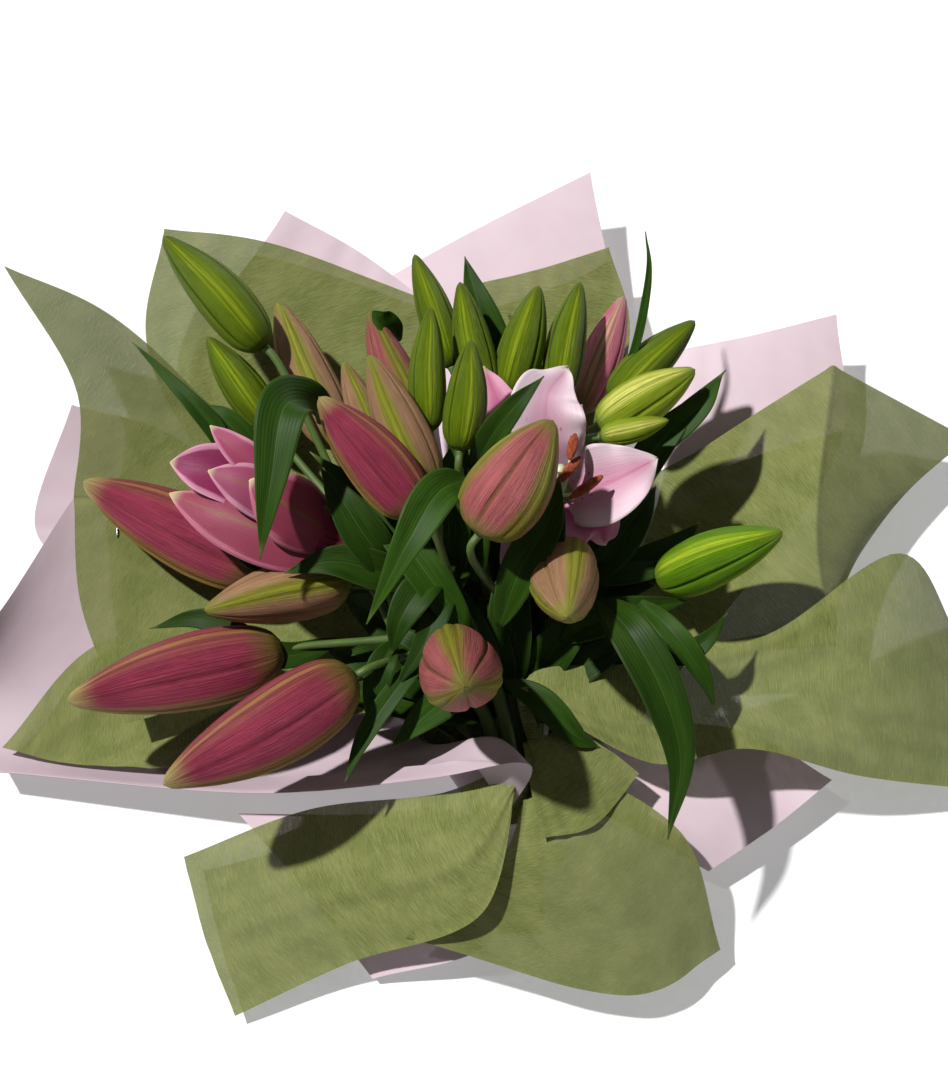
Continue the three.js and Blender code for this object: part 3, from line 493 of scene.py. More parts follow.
# ---------- materials ----------
class Graph:
    """A material's node tree, written as nested calls."""

    def __init__(self, name):
        self.material = bpy.data.materials.new(name)
        self.material.use_nodes = True
        self.tree = self.material.node_tree
        self.shader = self.tree.nodes["Principled BSDF"]

    def node(self, kind, settings=None, **inputs):
        made = self.tree.nodes.new(kind)
        for key, value in (settings or {}).items():
            setattr(made, key, value)
        for key, value in inputs.items():
            self.feed(made.inputs[key.replace("_", " ")], value)
        return made

    def feed(self, socket, value):
        if isinstance(value, bpy.types.NodeSocket):
            self.tree.links.new(value, socket)
        elif value is not None:
            solid = socket.type == "RGBA" and len(value) == 3
            socket.default_value = (*value, 1.0) if solid else value

    def math(self, operation, a, b=None, c=None):
        made = self.node("ShaderNodeMath", {"operation": operation})
        for socket, value in zip(made.inputs, (a, b, c)):
            self.feed(socket, value)
        return made.outputs[0]

    def step(self, low, high, value):
        made = self.node("ShaderNodeMapRange", {"interpolation_type": "SMOOTHSTEP"},
                         Value=value, From_Min=low, From_Max=high)
        return made.outputs[0]

    def mix(self, share, a, b, blend="MIX"):
        made = self.node("ShaderNodeMix", {"data_type": "RGBA", "blend_type": blend})
        self.feed(made.inputs[0], share)
        self.feed(made.inputs[6], a)
        self.feed(made.inputs[7], b)
        return made.outputs[2]

    def attribute(self, name):
        return self.node("ShaderNodeAttribute", {"attribute_name": name}).outputs["Vector"]

    def parts(self, vector):
        return self.node("ShaderNodeSeparateXYZ", Vector=vector).outputs

    def vector(self, x, y, z):
        return self.node("ShaderNodeCombineXYZ", X=x, Y=y, Z=z).outputs[0]

    def scaled(self, vector, scale, turn=0.0, shift=(0, 0, 0)):
        return self.node("ShaderNodeMapping", Vector=vector, Scale=scale, Location=shift,
                         Rotation=(0, 0, turn)).outputs[0]

    def noise(self, vector, scale, detail=4.0, roughness=0.55, distortion=0.0):
        return self.node("ShaderNodeTexNoise", Vector=vector, Scale=scale, Detail=detail,
                         Roughness=roughness, Distortion=distortion).outputs[0]

    def bump(self, height, strength, distance, normal=None):
        return self.node("ShaderNodeBump", Height=height, Strength=strength,
                         Distance=distance, Normal=normal).outputs[0]

    def surface(self, **inputs):
        for key, value in inputs.items():
            self.feed(self.shader.inputs[key.replace("_", " ")], value)
        return self.material


# Looks of the buds: panel, rib, seam, foot and tip colours; how broad the ribs' colour is, how
# much of it the second and third ribs take, and how plain the seams are.
BUD_LOOKS = {
    "green": ((0.108, 0.168, 0.001), (0.190, 0.255, 0.006), (0.016, 0.040, 0.001),
              (0.10, 0.16, 0.01), (0.11, 0.15, 0.01), 0.95, 1.0, 0.8),
    "vivid": ((0.110, 0.240, 0.002), (0.30, 0.42, 0.020), (0.03, 0.09, 0.002),
              (0.15, 0.24, 0.02), (0.16, 0.25, 0.02), 0.90, 1.0, 0.8),
    "lime": ((0.27, 0.36, 0.012), (0.62, 0.62, 0.130), (0.08, 0.14, 0.004),
             (0.22, 0.32, 0.03), (0.18, 0.26, 0.02), 0.45, 0.9, 0.6),
    "blush": ((0.37, 0.205, 0.110), (0.20, 0.23, 0.012), (0.12, 0.08, 0.012),
              (0.17, 0.22, 0.02), (0.25, 0.28, 0.04), 0.62, 0.9, 0.5),
    "peach": ((0.36, 0.100, 0.098), (0.17, 0.19, 0.012), (0.11, 0.055, 0.012),
              (0.20, 0.24, 0.03), (0.18, 0.22, 0.02), 0.62, 0.9, 0.7),
    "pink": ((0.62, 0.170, 0.240), (0.50, 0.30, 0.20), (0.30, 0.05, 0.08),
             (0.30, 0.22, 0.06), (0.55, 0.36, 0.30), 0.70, 0.6, 0.6),
    "rose": ((0.26, 0.031, 0.062), (0.260, 0.165, 0.040), (0.060, 0.014, 0.008),
             (0.12, 0.14, 0.012), (0.42, 0.40, 0.13), 0.50, 0.22, 0.25),
}


def bud_material(name, look, seed):
    """Three broad ribs and three panels that meet in a seam, streaked along the bud."""
    panel, rib, seam, foot, tip, reach, others, plain = BUD_LOOKS[look]
    g = Graph(name)
    place = g.attribute("bud")
    across, up, along = g.parts(place)[0:3]
    turn = g.math("ARCTAN2", up, across)
    wave = g.math("COSINE", g.math("MULTIPLY", turn, 3.0))
    streak_place = g.scaled(place, (19.0, 19.0, 1.1), shift=(seed, seed * 2, seed * 3))
    streak = g.noise(streak_place, 1.6, 5.0, 0.62)
    blotch = g.noise(g.scaled(place, (1.4, 1.4, 2.4), shift=(seed * 3, seed, 0)), 1.5, 3.0)
    ragged = g.math("ADD", wave, g.math("MULTIPLY", g.math("SUBTRACT", streak, 0.5), 1.3))
    base = g.mix(g.step(0.3, 0.75, blotch), panel, tuple(0.74 * c for c in panel))
    first = g.math("ADD", g.math("MULTIPLY", g.step(-0.2, 0.7, across), 1.0 - others), others)
    skin = g.mix(g.math("MULTIPLY", g.step(reach - 0.5, 1.0, ragged), first), base, rib)
    crest = g.math("MULTIPLY", g.step(0.965, 0.995, wave), 0.5)
    skin = g.mix(crest, skin, tuple(min(1.0, 1.3 * c) for c in rib))
    flank = g.math("MULTIPLY", g.step(0.80, 0.90, wave), g.step(0.985, 0.93, wave))
    skin = g.mix(g.math("MULTIPLY", flank, 0.4), skin, seam)
    skin = g.mix(g.math("MULTIPLY", g.step(0.965, 0.997, g.math("MULTIPLY", wave, -1.0)), plain),
                 skin, seam)
    ragged_end = g.math("ADD", along, g.math("MULTIPLY", g.math("SUBTRACT", streak, 0.5), 0.22))
    skin = g.mix(g.math("MULTIPLY", g.step(0.2, 0.0, ragged_end), 0.85), skin, foot)
    skin = g.mix(g.math("MULTIPLY", g.step(0.84, 1.0, ragged_end), 0.8), skin, tip)
    skin = g.mix(g.math("MULTIPLY", g.step(0.52, 0.34, streak), 0.6), skin,
                 tuple(0.48 * c for c in panel))
    skin = g.mix(g.math("MULTIPLY", g.step(0.54, 0.68, streak), 0.35), skin,
                 tuple(min(1.0, 1.5 * c + 0.04) for c in panel))
    fine = g.noise(g.scaled(place, (26.0, 26.0, 2.2), shift=(0, seed, 0)), 2.2, 3.0)
    height = g.math("ADD", g.math("MULTIPLY", streak, 0.7), g.math("MULTIPLY", fine, 0.5))
    g.surface(Base_Color=skin, Normal=g.bump(height, 0.75, 0.0018),
              Roughness=g.math("ADD", g.math("MULTIPLY", blotch, 0.16), 0.34))
    g.surface(Specular_IOR_Level=0.11)
    return g.material


def leaf_material(name, tone, seed):
    g = Graph(name)
    place = g.attribute("leaf")
    across, along, edge = g.parts(place)[0:3]
    veins = g.math("COSINE", g.math("MULTIPLY", across, 42.0))
    streak = g.noise(g.scaled(place, (9.0, 0.9, 0.0), shift=(seed, seed, 0)), 2.4, 4.0)
    patch = g.noise(g.scaled(place, (1.2, 2.2, 0.0), shift=(0, seed, 0)), 1.4, 3.0)
    dark = tuple(c * tone for c in (0.009, 0.028, 0.0018))
    light = tuple(c * tone for c in (0.029, 0.074, 0.004))
    skin = g.mix(g.step(0.25, 0.8, g.math("ADD", g.math("MULTIPLY", patch, 0.6),
                                          g.math("MULTIPLY", streak, 0.4))), dark, light)
    skin = g.mix(g.math("MULTIPLY", g.step(0.5, 1.0, veins), 0.13), skin,
                 tuple(c * 1.7 for c in light))
    midrib = g.step(0.055, 0.0, g.math("ABSOLUTE", across))
    skin = g.mix(g.math("MULTIPLY", midrib, 0.5), skin, tuple(c * tone for c in (0.055, 0.12, 0.022)))
    skin = g.mix(g.math("MULTIPLY", g.step(0.94, 1.0, edge), 0.35), skin, (0.07, 0.12, 0.03))
    skin = g.mix(g.math("MULTIPLY", g.step(0.93, 1.0, along), 0.5), skin, (0.16, 0.19, 0.05))
    height = g.math("SUBTRACT", g.math("MULTIPLY", veins, 0.25), g.math("MULTIPLY", midrib, 1.0))
    height = g.math("ADD", height, g.math("MULTIPLY", streak, 0.35))
    g.surface(Base_Color=skin, Normal=g.bump(height, 0.3, 0.0006),
              Roughness=g.math("ADD", g.math("MULTIPLY", patch, 0.2), 0.40))
    return g.surface(Specular_IOR_Level=0.13)


def stem_material(name, tone):
    g = Graph(name)
    place = g.attribute("run")
    streak = g.noise(g.scaled(place, (7.0, 7.0, 0.05)), 1.8, 4.0)
    patch = g.noise(g.scaled(place, (1.0, 1.0, 0.06)), 1.5, 3.0)
    skin = g.mix(g.step(0.3, 0.75, streak), tuple(c * tone for c in (0.050, 0.100, 0.016)),
                 tuple(c * tone for c in (0.115, 0.185, 0.035)))
    skin = g.mix(g.math("MULTIPLY", g.step(0.45, 0.8, patch), 0.4), skin, (0.10, 0.10, 0.03))
    g.surface(Base_Color=skin, Normal=g.bump(streak, 0.3, 0.0006),
              Roughness=g.math("ADD", g.math("MULTIPLY", patch, 0.2), 0.36))
    return g.material


def wrap_material(name, seed, lean):
    """Nonwoven fabric: short crossed fibres pressed flat, thin enough to show what lies behind."""
    g = Graph(name)
    place = g.attribute("flat")
    fibres = None
    for turn, weight, scale in ((lean, 0.5, 1.0), (lean + 0.55, 0.28, 1.3), (lean - 0.7, 0.22, 0.8)):
        streak = g.noise(g.scaled(place, (0.16 * scale, 3.4 * scale, 1.0), turn=turn,
                                  shift=(seed, seed * 2, seed)), 1.0, 4.0, 0.72, 0.08)
        streak = g.math("MULTIPLY", streak, weight)
        fibres = streak if fibres is None else g.math("ADD", fibres, streak)
    cloud = g.noise(g.scaled(place, (0.05, 0.05, 1.0), shift=(seed, 0, 0)), 1.0, 3.0)
    base = g.mix(g.step(0.3, 0.7, cloud), (0.165, 0.190, 0.048), (0.226, 0.242, 0.076))
    skin = g.mix(g.math("MULTIPLY", g.step(0.50, 0.64, fibres), 0.7), base, (0.310, 0.350, 0.150))
    skin = g.mix(g.math("MULTIPLY", g.step(0.50, 0.38, fibres), 0.45), skin, (0.080, 0.104, 0.024))
    g.surface(Base_Color=skin, Normal=g.bump(fibres, 0.32, 0.0007),
              Roughness=g.math("SUBTRACT", 0.95, g.math("MULTIPLY", g.step(0.5, 0.62, fibres), 0.22)))
    g.surface(Alpha=g.math("ADD", g.math("MULTIPLY", g.step(0.40, 0.62, fibres), 0.20), 0.66))
    return g.surface(Sheen_Weight=0.06, Sheen_Roughness=0.45, Specular_IOR_Level=0.25)


def paper_material(name, seed, tone):
    g = Graph(name)
    place = g.attribute("flat")
    cloud = g.noise(g.scaled(place, (0.03, 0.03, 1.0), shift=(seed, seed, 0)), 1.0, 3.0)
    grain = g.noise(g.scaled(place, (2.2, 2.2, 1.0), shift=(0, seed, 0)), 1.0, 3.0)
    # A tone below 1 darkens the whole sheet evenly: painted shade for a paper lying in shade.
    skin = g.mix(g.step(0.3, 0.7, cloud), tuple(tone * c for c in (0.61, 0.475, 0.525)),
                 tuple(tone * c for c in (0.65, 0.515, 0.565)))
    skin = g.mix(g.math("MULTIPLY", g.step(0.45, 0.7, grain), 0.12), skin,
                 tuple(tone * c for c in (0.52, 0.38, 0.43)))
    g.surface(Base_Color=skin, Normal=g.bump(grain, 0.10, 0.0004),
              Roughness=g.math("ADD", g.math("MULTIPLY", cloud, 0.2), 0.42))
    return g.surface(Specular_IOR_Level=0.35)


def tepal_material(name, pale, deep, stripe, tip, seed, spots, margin):
    """A tepal: pale margin, deeper middle, a line down the midrib and crimson spots."""
    g = Graph(name)
    place = g.attribute("tepal")
    across, along, side = g.parts(place)[0:3]
    away = g.math("ABSOLUTE", across)
    streak = g.noise(g.scaled(place, (15.0, 1.0, 0.0), shift=(seed, seed, 0)), 2.0, 5.0, 0.65)
    reach = g.math("ADD", away, g.math("MULTIPLY", g.math("SUBTRACT", streak, 0.5), 0.55))
    reach = g.math("ADD", reach, g.math("MULTIPLY", along, 0.42))
    skin = g.mix(g.step(margin, 1.1, reach), deep, pale)
    skin = g.mix(g.math("MULTIPLY", g.step(0.86, 1.0, away), 0.7), skin,
                 tuple(min(1.0, c * 1.12) for c in pale))
    skin = g.mix(g.math("MULTIPLY", g.step(0.10, 0.0, away), 0.75), skin, stripe)
    skin = g.mix(g.math("MULTIPLY", g.step(0.47, 0.62, streak), 0.38), skin, deep)
    skin = g.mix(g.math("MULTIPLY", g.step(0.90, 1.0, along), 0.7), skin, tip)
    height = streak
    if spots:
        cells = g.node("ShaderNodeTexVoronoi", {"feature": "F1"}, Scale=1.0, Randomness=0.9,
                       Vector=g.scaled(place, (7.0, 15.0, 0.0), shift=(seed, 0, 0)))
        dot = g.step(0.27, 0.16, cells.outputs["Distance"])
        where = g.math("MULTIPLY", g.step(0.62, 0.2, along), g.step(0.85, 0.4, away))
        dot = g.math("MULTIPLY", dot, where)
        skin = g.mix(dot, skin, (0.30, 0.012, 0.045))
        height = g.math("ADD", streak, g.math("MULTIPLY", dot, 0.8))
    g.surface(Base_Color=skin, Normal=g.bump(height, 0.28, 0.0010),
              Roughness=g.math("ADD", g.math("MULTIPLY", streak, 0.2), 0.40))
    return g.surface(Subsurface_Weight=0.05, Subsurface_Radius=(0.006, 0.003, 0.003),
                     Subsurface_Scale=0.4, Specular_IOR_Level=0.35)


def plain_detail_material(name, first, second, scale, roughness, bump, metallic=0.0):
    """A small part's finish: two close colours in a fine grain."""
    g = Graph(name)
    place = g.attribute("run")
    grain = g.noise(g.scaled(place, scale), 1.0, 5.0, 0.65)
    g.surface(Base_Color=g.mix(g.step(0.35, 0.68, grain), first, second),
              Normal=g.bump(grain, bump, 0.0006),
              Roughness=g.math("ADD", g.math("MULTIPLY", grain, 0.2), roughness - 0.1))
    return g.surface(Metallic=metallic)

# ---------- buds ----------
BUD_RINGS = 44
BUD_SIDES = 120


def bud_grid(base, axis, length, girth, turn, bow, bow_turn, groove, opened=1.0):
    """Rings of a bud and, at each point, its angle from the first rib and its share of the length."""
    side = unit(np.cross(axis, (0.0, 0.0, 1.0)))
    up = np.cross(side, axis)
    outline = spline([(*pair, 0) for pair in BUD_OUTLINE], np.linspace(0, 1, BUD_RINGS))
    outline = outline[outline[:, 0] <= opened]
    along, radius = outline[:, 0], np.maximum(outline[:, 1], 0.02) * girth / 2
    angle = np.linspace(0, 2 * math.pi, BUD_SIDES, endpoint=False)
    ribbed = angle - math.radians(turn)
    wave = np.cos(3 * ribbed)
    shape = 0.040 * wave + 0.020 * np.exp((wave - 1) / 0.02) - groove * np.exp(-(wave + 1) / 0.03)
    shape -= 0.024 * np.exp(-((wave - 0.87) / 0.07) ** 2)
    strength = smooth(0, 0.16, along) * (1 - 0.35 * smooth(0.8, 1, along))
    size = radius[:, None] * (1 + strength[:, None] * shape[None] * 1.25)
    sway = bow * np.sin(math.pi * along) ** 2
    centre = (np.asarray(base, float) + axis * (along * length)[:, None]
              + (math.cos(bow_turn) * side + math.sin(bow_turn) * up) * sway[:, None])
    ring = np.cos(angle)[:, None] * side + np.sin(angle)[:, None] * up
    grid = centre[:, None] + size[..., None] * ring[None]
    place = np.stack(np.broadcast_arrays(
        np.cos(ribbed)[None], np.sin(ribbed)[None], along[:, None]), axis=-1)
    return grid, place, centre


def make_bud(index, name, look, length, girth, base, heading, rise, turn):
    axis = direction(heading, rise)
    grid, place, centre = bud_grid(base, axis, length, girth, turn, 0.016 * length, index * 1.7,
                                   0.02 + 0.06 * BUD_LOOKS[look][-1])
    points, faces = lathe(grid, centre[0] - axis * 0.3, centre[-1] + axis * 0.4)
    values = np.concatenate([place.reshape(-1, 3), [(0, 0, 0), (0, 0, 1)]])
    material = bud_material(name + "_skin", look, index * 0.37 + 0.1)
    piece = make_object(name + "_bud", points, faces, material, {"bud": values})
    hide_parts(name)


for index, (name, look, _, _, length, girth, base, heading, rise, turn) in enumerate(BUDS):
    make_bud(index, name, look, length, girth, base, heading, rise, turn)


# ---------- stems and stalks ----------
STEM_RINGS = 60
STALK_RINGS = 18
FLOWER_STALKS = [
    (5, 0.86, OPEN_FLOWER_BASE, 0, 90),
    (0, 0.99, OPENING_BASE, 160, 12),
]


def even(path, count):
    """The same path in steps of one length."""
    lengths = np.concatenate([[0], np.cumsum(np.linalg.norm(np.diff(path, axis=0), axis=1))])
    wanted = np.linspace(0, lengths[-1], count)
    return np.stack([np.interp(wanted, lengths, path[:, k]) for k in range(3)], axis=1)


def stem_path(place, route):
    held = TIE_CENTRE.copy()
    if place is not None:
        turn = math.radians(place)
        held = held + (STEM_DIAMETER + STEM_GAP) * np.array([math.cos(turn), 0, math.sin(turn)])
    cut_end = np.array([held[0], STEM_END, held[2]])
    mouth = held + [0, TIE_WIDTH + THROAT_LEAD, 0]
    points = [cut_end, held, mouth] + [np.array(point, float) for point in route]
    return even(spline(points, np.linspace(0, 1, 600)), STEM_RINGS)


def run_values(points, path):
    """Each point's place on a round run: its offset from the path's nearest point, and how far along."""
    nearest = np.argmin(((points[:, None] - path[None]) ** 2).sum(-1), axis=1)
    offset = (points - path[nearest])
    travelled = np.concatenate([[0], np.cumsum(np.linalg.norm(np.diff(path, axis=0), axis=1))])
    return np.stack([offset[:, 0], offset[:, 2], travelled[nearest]], axis=1)


def tube_part(path, radii, sides, wobble=None):
    points, faces = tube(path, radii, sides, wobble)
    return points, faces, run_values(points, path)


def stalk_part(path, fork, base, heading, rise, girth):
    base = np.array(base, float)
    axis = direction(heading, rise)
    start = path[int(round(fork * (STEM_RINGS - 1)))]
    points = [start, base - axis * STALK_STRAIGHT, base - axis * 0.4]
    route = spline(points, np.linspace(0, 1, STALK_RINGS))
    share = np.linspace(0, 1, STALK_RINGS)
    flare = 1 + 0.22 * smooth(0.86, 1, share) + 0.25 * smooth(0.2, 0, share)
    return tube_part(route, STALK_DIAMETER / 2 * flare, 14)


for index, (name, place, route) in enumerate(STEMS):
    path = stem_path(place, route)
    share = np.linspace(0, 1, STEM_RINGS)
    thick = STEM_DIAMETER / 2 * (1 - 0.25 * smooth(0.45, 1, share))
    scars = 0.05 * np.exp(-((share * 9 % 1 - 0.5) / 0.06) ** 2)
    ridged = lambda along, angle: 1 + 0.012 * np.cos(5 * angle + 2 * along)
    parts = [tube_part(path, thick * (1 + scars) * 0.985, 20, ridged)]
    for bud in BUDS:
        if bud[2] == index:
            parts.append(stalk_part(path, bud[3], bud[6], bud[7], bud[8], bud[5]))
    for stem, fork, base, heading, rise in FLOWER_STALKS:
        if stem == index:
            parts.append(stalk_part(path, fork, base, heading, rise, 0))
    points, faces, values = join(parts)
    material = stem_material(name + "_skin", 0.9 + 0.05 * (index % 3))
    piece = make_object(name + "_stem", points, faces, material, {"run": values})
    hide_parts(name)


# ---------- leaves ----------
BLADE_ROWS = 34
BLADE_COLUMNS = 13


def blade(path, width, fold, profile, rows=BLADE_ROWS, columns=BLADE_COLUMNS, ruffle=0.0,
          waves=2.0, phase=0.0, twist=0.0, cup=0.12):
    """Grid over a leaf or tepal, and each point's place on it: across from -1 to 1, and along."""
    v = np.linspace(0, 1, rows)
    midrib = spline(path, v)
    along = unit(np.gradient(midrib, axis=0))
    side = unit(np.cross(along, (0.0, 0.0, 1.0)))
    up = np.cross(side, along)
    turn = (twist * v)[:, None]
    side, up = np.cos(turn) * side + np.sin(turn) * up, np.cos(turn) * up - np.sin(turn) * side
    across = np.linspace(-1, 1, columns)
    offset = profile(v)[:, None] * width / 2 * across[None]
    soft = cup * width / 2
    lift = fold * (np.sqrt(offset ** 2 + soft ** 2) - soft)
    wave = np.sin(2 * math.pi * waves * v + phase)[:, None] * np.sign(across)[None]
    wave = wave * 0.6 + 0.4 * np.sin(2 * math.pi * waves * 1.7 * v + phase * 2)[:, None]
    lift = lift + ruffle * np.abs(across)[None] ** 2.2 * wave * smooth(0, 0.2, v)[:, None]
    grid = midrib[:, None] + side[:, None] * offset[..., None] + up[:, None] * lift[..., None]
    place = np.stack(np.broadcast_arrays(across[None], v[:, None], np.abs(across)[None]), axis=-1)
    return grid, place


def leaf_profile(v):
    return np.maximum(0.13 * (1 - v) + 0.87 * np.sin(math.pi * v ** 0.8), 0.015)


def slab_part(grid, place, thickness):
    points, faces, sharp = slab(grid, thickness)
    flat = place.reshape(-1, 3)
    return points, faces, np.concatenate([flat, flat]), sharp


def leaf_part(path, width, index, fold=LEAF_FOLD, twist=0.0, ruffle=0.8):
    grid, place = blade(path, width, fold, leaf_profile, ruffle=ruffle, waves=1.6,
                        phase=index * 1.9, twist=twist)
    across = place[..., 0]
    return slab_part(grid, place, LEAF_THICKNESS * (1 - 0.55 * across ** 2))


for index, (name, width, path) in enumerate(LEAVES):
    points, faces, values, sharp = leaf_part(path, width, index)
    material = leaf_material(name + "_skin", 1.0 + 0.18 * math.sin(index * 2.1), index * 0.7)
    piece = make_object(name + "_leaf", points, faces, material, {"leaf": values})
    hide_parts(name)

for index, (name, width, path) in enumerate(SMALL_LEAVES):
    points, faces, values, sharp = leaf_part(path, width, index + 11)
    material = leaf_material("leaf_" + name + "_skin", 0.92 + 0.2 * math.sin(index * 1.3), index * 0.9 + 7)
    make_object("leaf_" + name, points, faces, material, {"leaf": values})

for index, (heading, reach, height, width) in enumerate(LOW_LEAVES):
    outward = direction(heading, 0)
    start = np.array(LOW_LEAVES_START, float)
    rise = np.array([0, 0, height - LOW_LEAVES_START[2]])
    droop = np.array([0, 0, 10 * math.sin(index * 2.1) - 6])
    path = [start + outward * 6, start + outward * reach * 0.45 + rise * 0.8,
            start + outward * reach * 0.8 + rise * 1.15, start + outward * reach + rise + droop]
    points, faces, values, sharp = leaf_part(path, width, index + 40, twist=0.5 * math.sin(index * 1.7))
    # These leaves are real foliage low among the stems; their tone of 0.75, darker than the other leaves, is
    # painted shade for the dark depth they sit in.
    material = leaf_material(f"leaf_low_{index + 1}_skin", 0.75, index * 1.1 + 3)
    make_object(f"leaf_low_{index + 1}", points, faces, material, {"leaf": values})


# ---------- flowers ----------
def tepal_profile(v):
    return np.maximum(0.14 * (1 - v) + 0.9 * np.sin(math.pi * v ** 0.9) ** 0.8, 0.02)


def tepal_part(path, width, index, ruffle, fold=TEPAL_FOLD):
    grid, place = blade(path, width, fold, tepal_profile, rows=44, columns=21, ruffle=ruffle,
                        waves=2.6, phase=index * 1.3, cup=0.3)
    across = place[..., 0]
    return slab_part(grid, place, TEPAL_THICKNESS * (1 - 0.6 * across ** 2))


PALE_PINK = (0.83, 0.62, 0.70)
DEEP_PINK = (0.62, 0.20, 0.38)
OPEN_LOOKS = [
    # pale, deep, stripe, tip, ruffle
    ((0.66, 0.53, 0.57), (0.50, 0.28, 0.36), (0.44, 0.20, 0.28), (0.66, 0.58, 0.50), 3.0),
    ((0.56, 0.26, 0.36), (0.40, 0.09, 0.19), (0.34, 0.06, 0.15), (0.42, 0.38, 0.16), 1.4),
    ((0.64, 0.49, 0.54), (0.50, 0.23, 0.32), (0.42, 0.10, 0.20), (0.64, 0.55, 0.50), 2.0),
    ((0.60, 0.26, 0.38), (0.34, 0.035, 0.13), (0.30, 0.03, 0.11), (0.56, 0.40, 0.28), 2.4),
    ((0.60, 0.38, 0.46), (0.36, 0.07, 0.18), (0.32, 0.05, 0.15), (0.44, 0.50, 0.22), 1.4),
    ((0.36, 0.10, 0.11), (0.22, 0.03, 0.04), (0.18, 0.03, 0.03), (0.50, 0.44, 0.30), 0.9),
]
cup_points = spline([OPEN_FLOWER_BASE, [45, 47, 96], [45.5, 47, 106]], np.linspace(0, 1, 12))
cup_share = np.linspace(0, 1, 12)
cup_radius = 3.0 + 3.4 * np.sin(math.pi * np.minimum(cup_share * 1.1, 1) * 0.72)
cup = tube_part(cup_points, cup_radius, 24, lambda along, angle: 1 + 0.06 * np.cos(6 * angle))
throat = make_object("flower_open_throat", cup[0], cup[1], stem_material("flower_open_throat_skin", 1.6),
                     {"run": cup[2]})
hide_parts("flower_open")
for index, ((width, path), look) in enumerate(zip(OPEN_TEPALS, OPEN_LOOKS)):
    pale, deep, stripe, tip, ruffle = look
    name = f"flower_open_tepal_{index + 1}"
    points, faces, values, sharp = tepal_part(path, width, index, ruffle)
    material = tepal_material(name + "_skin", pale, deep, stripe, tip, index * 1.7, True, 0.35)
    make_object(name, points, faces, material, {"tepal": values})

OPENING_LOOKS = [
    # pale, deep, stripe, tip, ruffle, fold
    ((0.46, 0.17, 0.24), (0.28, 0.040, 0.095), (0.22, 0.05, 0.06), (0.56, 0.54, 0.26), 0.6, 0.45),
    ((0.52, 0.22, 0.32), (0.20, 0.014, 0.070), (0.16, 0.01, 0.05), (0.56, 0.54, 0.30), 0.7, 0.5),
    ((0.50, 0.22, 0.30), (0.27, 0.050, 0.105), (0.20, 0.08, 0.03), (0.58, 0.55, 0.30), 0.6, -0.4),
    ((0.42, 0.13, 0.19), (0.24, 0.036, 0.068), (0.17, 0.09, 0.022), (0.56, 0.54, 0.26), 0.5, -0.45),
    ((0.40, 0.12, 0.17), (0.22, 0.030, 0.058), (0.16, 0.08, 0.02), (0.66, 0.63, 0.36), 0.7, -0.5),
    ((0.38, 0.09, 0.16), (0.20, 0.018, 0.070), (0.16, 0.02, 0.06), (0.50, 0.44, 0.22), 0.5, 0.45),
]
opening_axis = direction(160, 12)
grid, place, centre = bud_grid(OPENING_BASE, opening_axis, 80, 36, 45, 1.0, 1.0, 0.04, opened=0.66)
grid = np.concatenate([grid, centre[-1:, None] + (grid[-1:] - centre[-1:, None]) * 0.72
                       - opening_axis * 6])
place = np.concatenate([place, place[-1:]])
points, faces = lathe(grid, centre[0] - opening_axis * 0.3, centre[-1] - opening_axis * 9)
values = np.concatenate([place.reshape(-1, 3), [(0, 0, 0), (0, 0, 0.6)]])
body = make_object("flower_opening_body", points, faces, bud_material("flower_opening_skin", "rose", 5.3),
                   {"bud": values})
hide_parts("flower_opening")
for index, ((width, path), look) in enumerate(zip(OPENING_TEPALS, OPENING_LOOKS)):
    pale, deep, stripe, tip, ruffle, fold = look
    name = f"flower_opening_tepal_{index + 1}"
    points, faces, values, sharp = tepal_part(path, width, index + 4, ruffle, fold=fold)
    material = tepal_material(name + "_skin", pale, deep, stripe, tip, index * 2.3, False, 1.0)
    make_object(name, points, faces, material, {"tepal": values})


def anther_part(path):
    route = spline(path, np.linspace(0, 1, 22))
    share = np.linspace(0, 1, 22)
    radii = ANTHER_DIAMETER / 2 * np.maximum(np.sin(math.pi * np.clip(share, 0.02, 0.98)), 0) ** 0.45
    return tube_part(route, radii, 20, lambda along, angle: 1 + 0.14 * np.cos(2 * angle))


filaments, anthers = [], []
for filament, anther in STAMENS:
    anther = [anther[0], (np.add(anther[0], anther[1]) / 2 + [0, 0, 0.8]).tolist(), anther[1]]
    filaments.append(tube_part(spline(filament, np.linspace(0, 1, 16)), FILAMENT_DIAMETER / 2, 12))
    anthers.append(anther_part(anther))
pistil_share = np.linspace(0, 1, 22)
pistil_path = spline([[45, 46, 104], [43, 49, 118], [44, 54, 129]], pistil_share)
pistil_radius = 1.1 + 1.6 * smooth(0.86, 0.97, pistil_share)
filaments.append(tube_part(pistil_path, pistil_radius, 18,
                           lambda along, angle: 1 + 0.1 * np.cos(3 * angle)))
points, faces, values = join(filaments)
make_object("flower_open_filaments", points, faces,
            plain_detail_material("filament_skin", (0.55, 0.62, 0.36), (0.72, 0.74, 0.52),
                                  (1.4, 1.4, 0.5), 0.5, 0.2), {"run": values})
points, faces, values = join(anthers)
piece = make_object("flower_open_anthers", points, faces,
                    plain_detail_material("anther_skin", (0.16, 0.020, 0.010), (0.38, 0.085, 0.018),
                                          (1.3, 1.3, 0.5), 0.9, 0.8), {"run": values})
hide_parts("flower_open_stamens")
points, faces, values = anther_part([[-118, 44, 122], [-122, 48, 125], [-125, 52, 126]])
make_object("flower_opening_anther", points, faces,
            plain_detail_material("dark_anther_skin", (0.035, 0.006, 0.008), (0.09, 0.014, 0.012),
                                  (2.2, 2.2, 2.2), 0.4, 0.3), {"run": values})


# ---------- wrap ----------
SHEET_ROWS = 84
SHEET_COLUMNS = 56


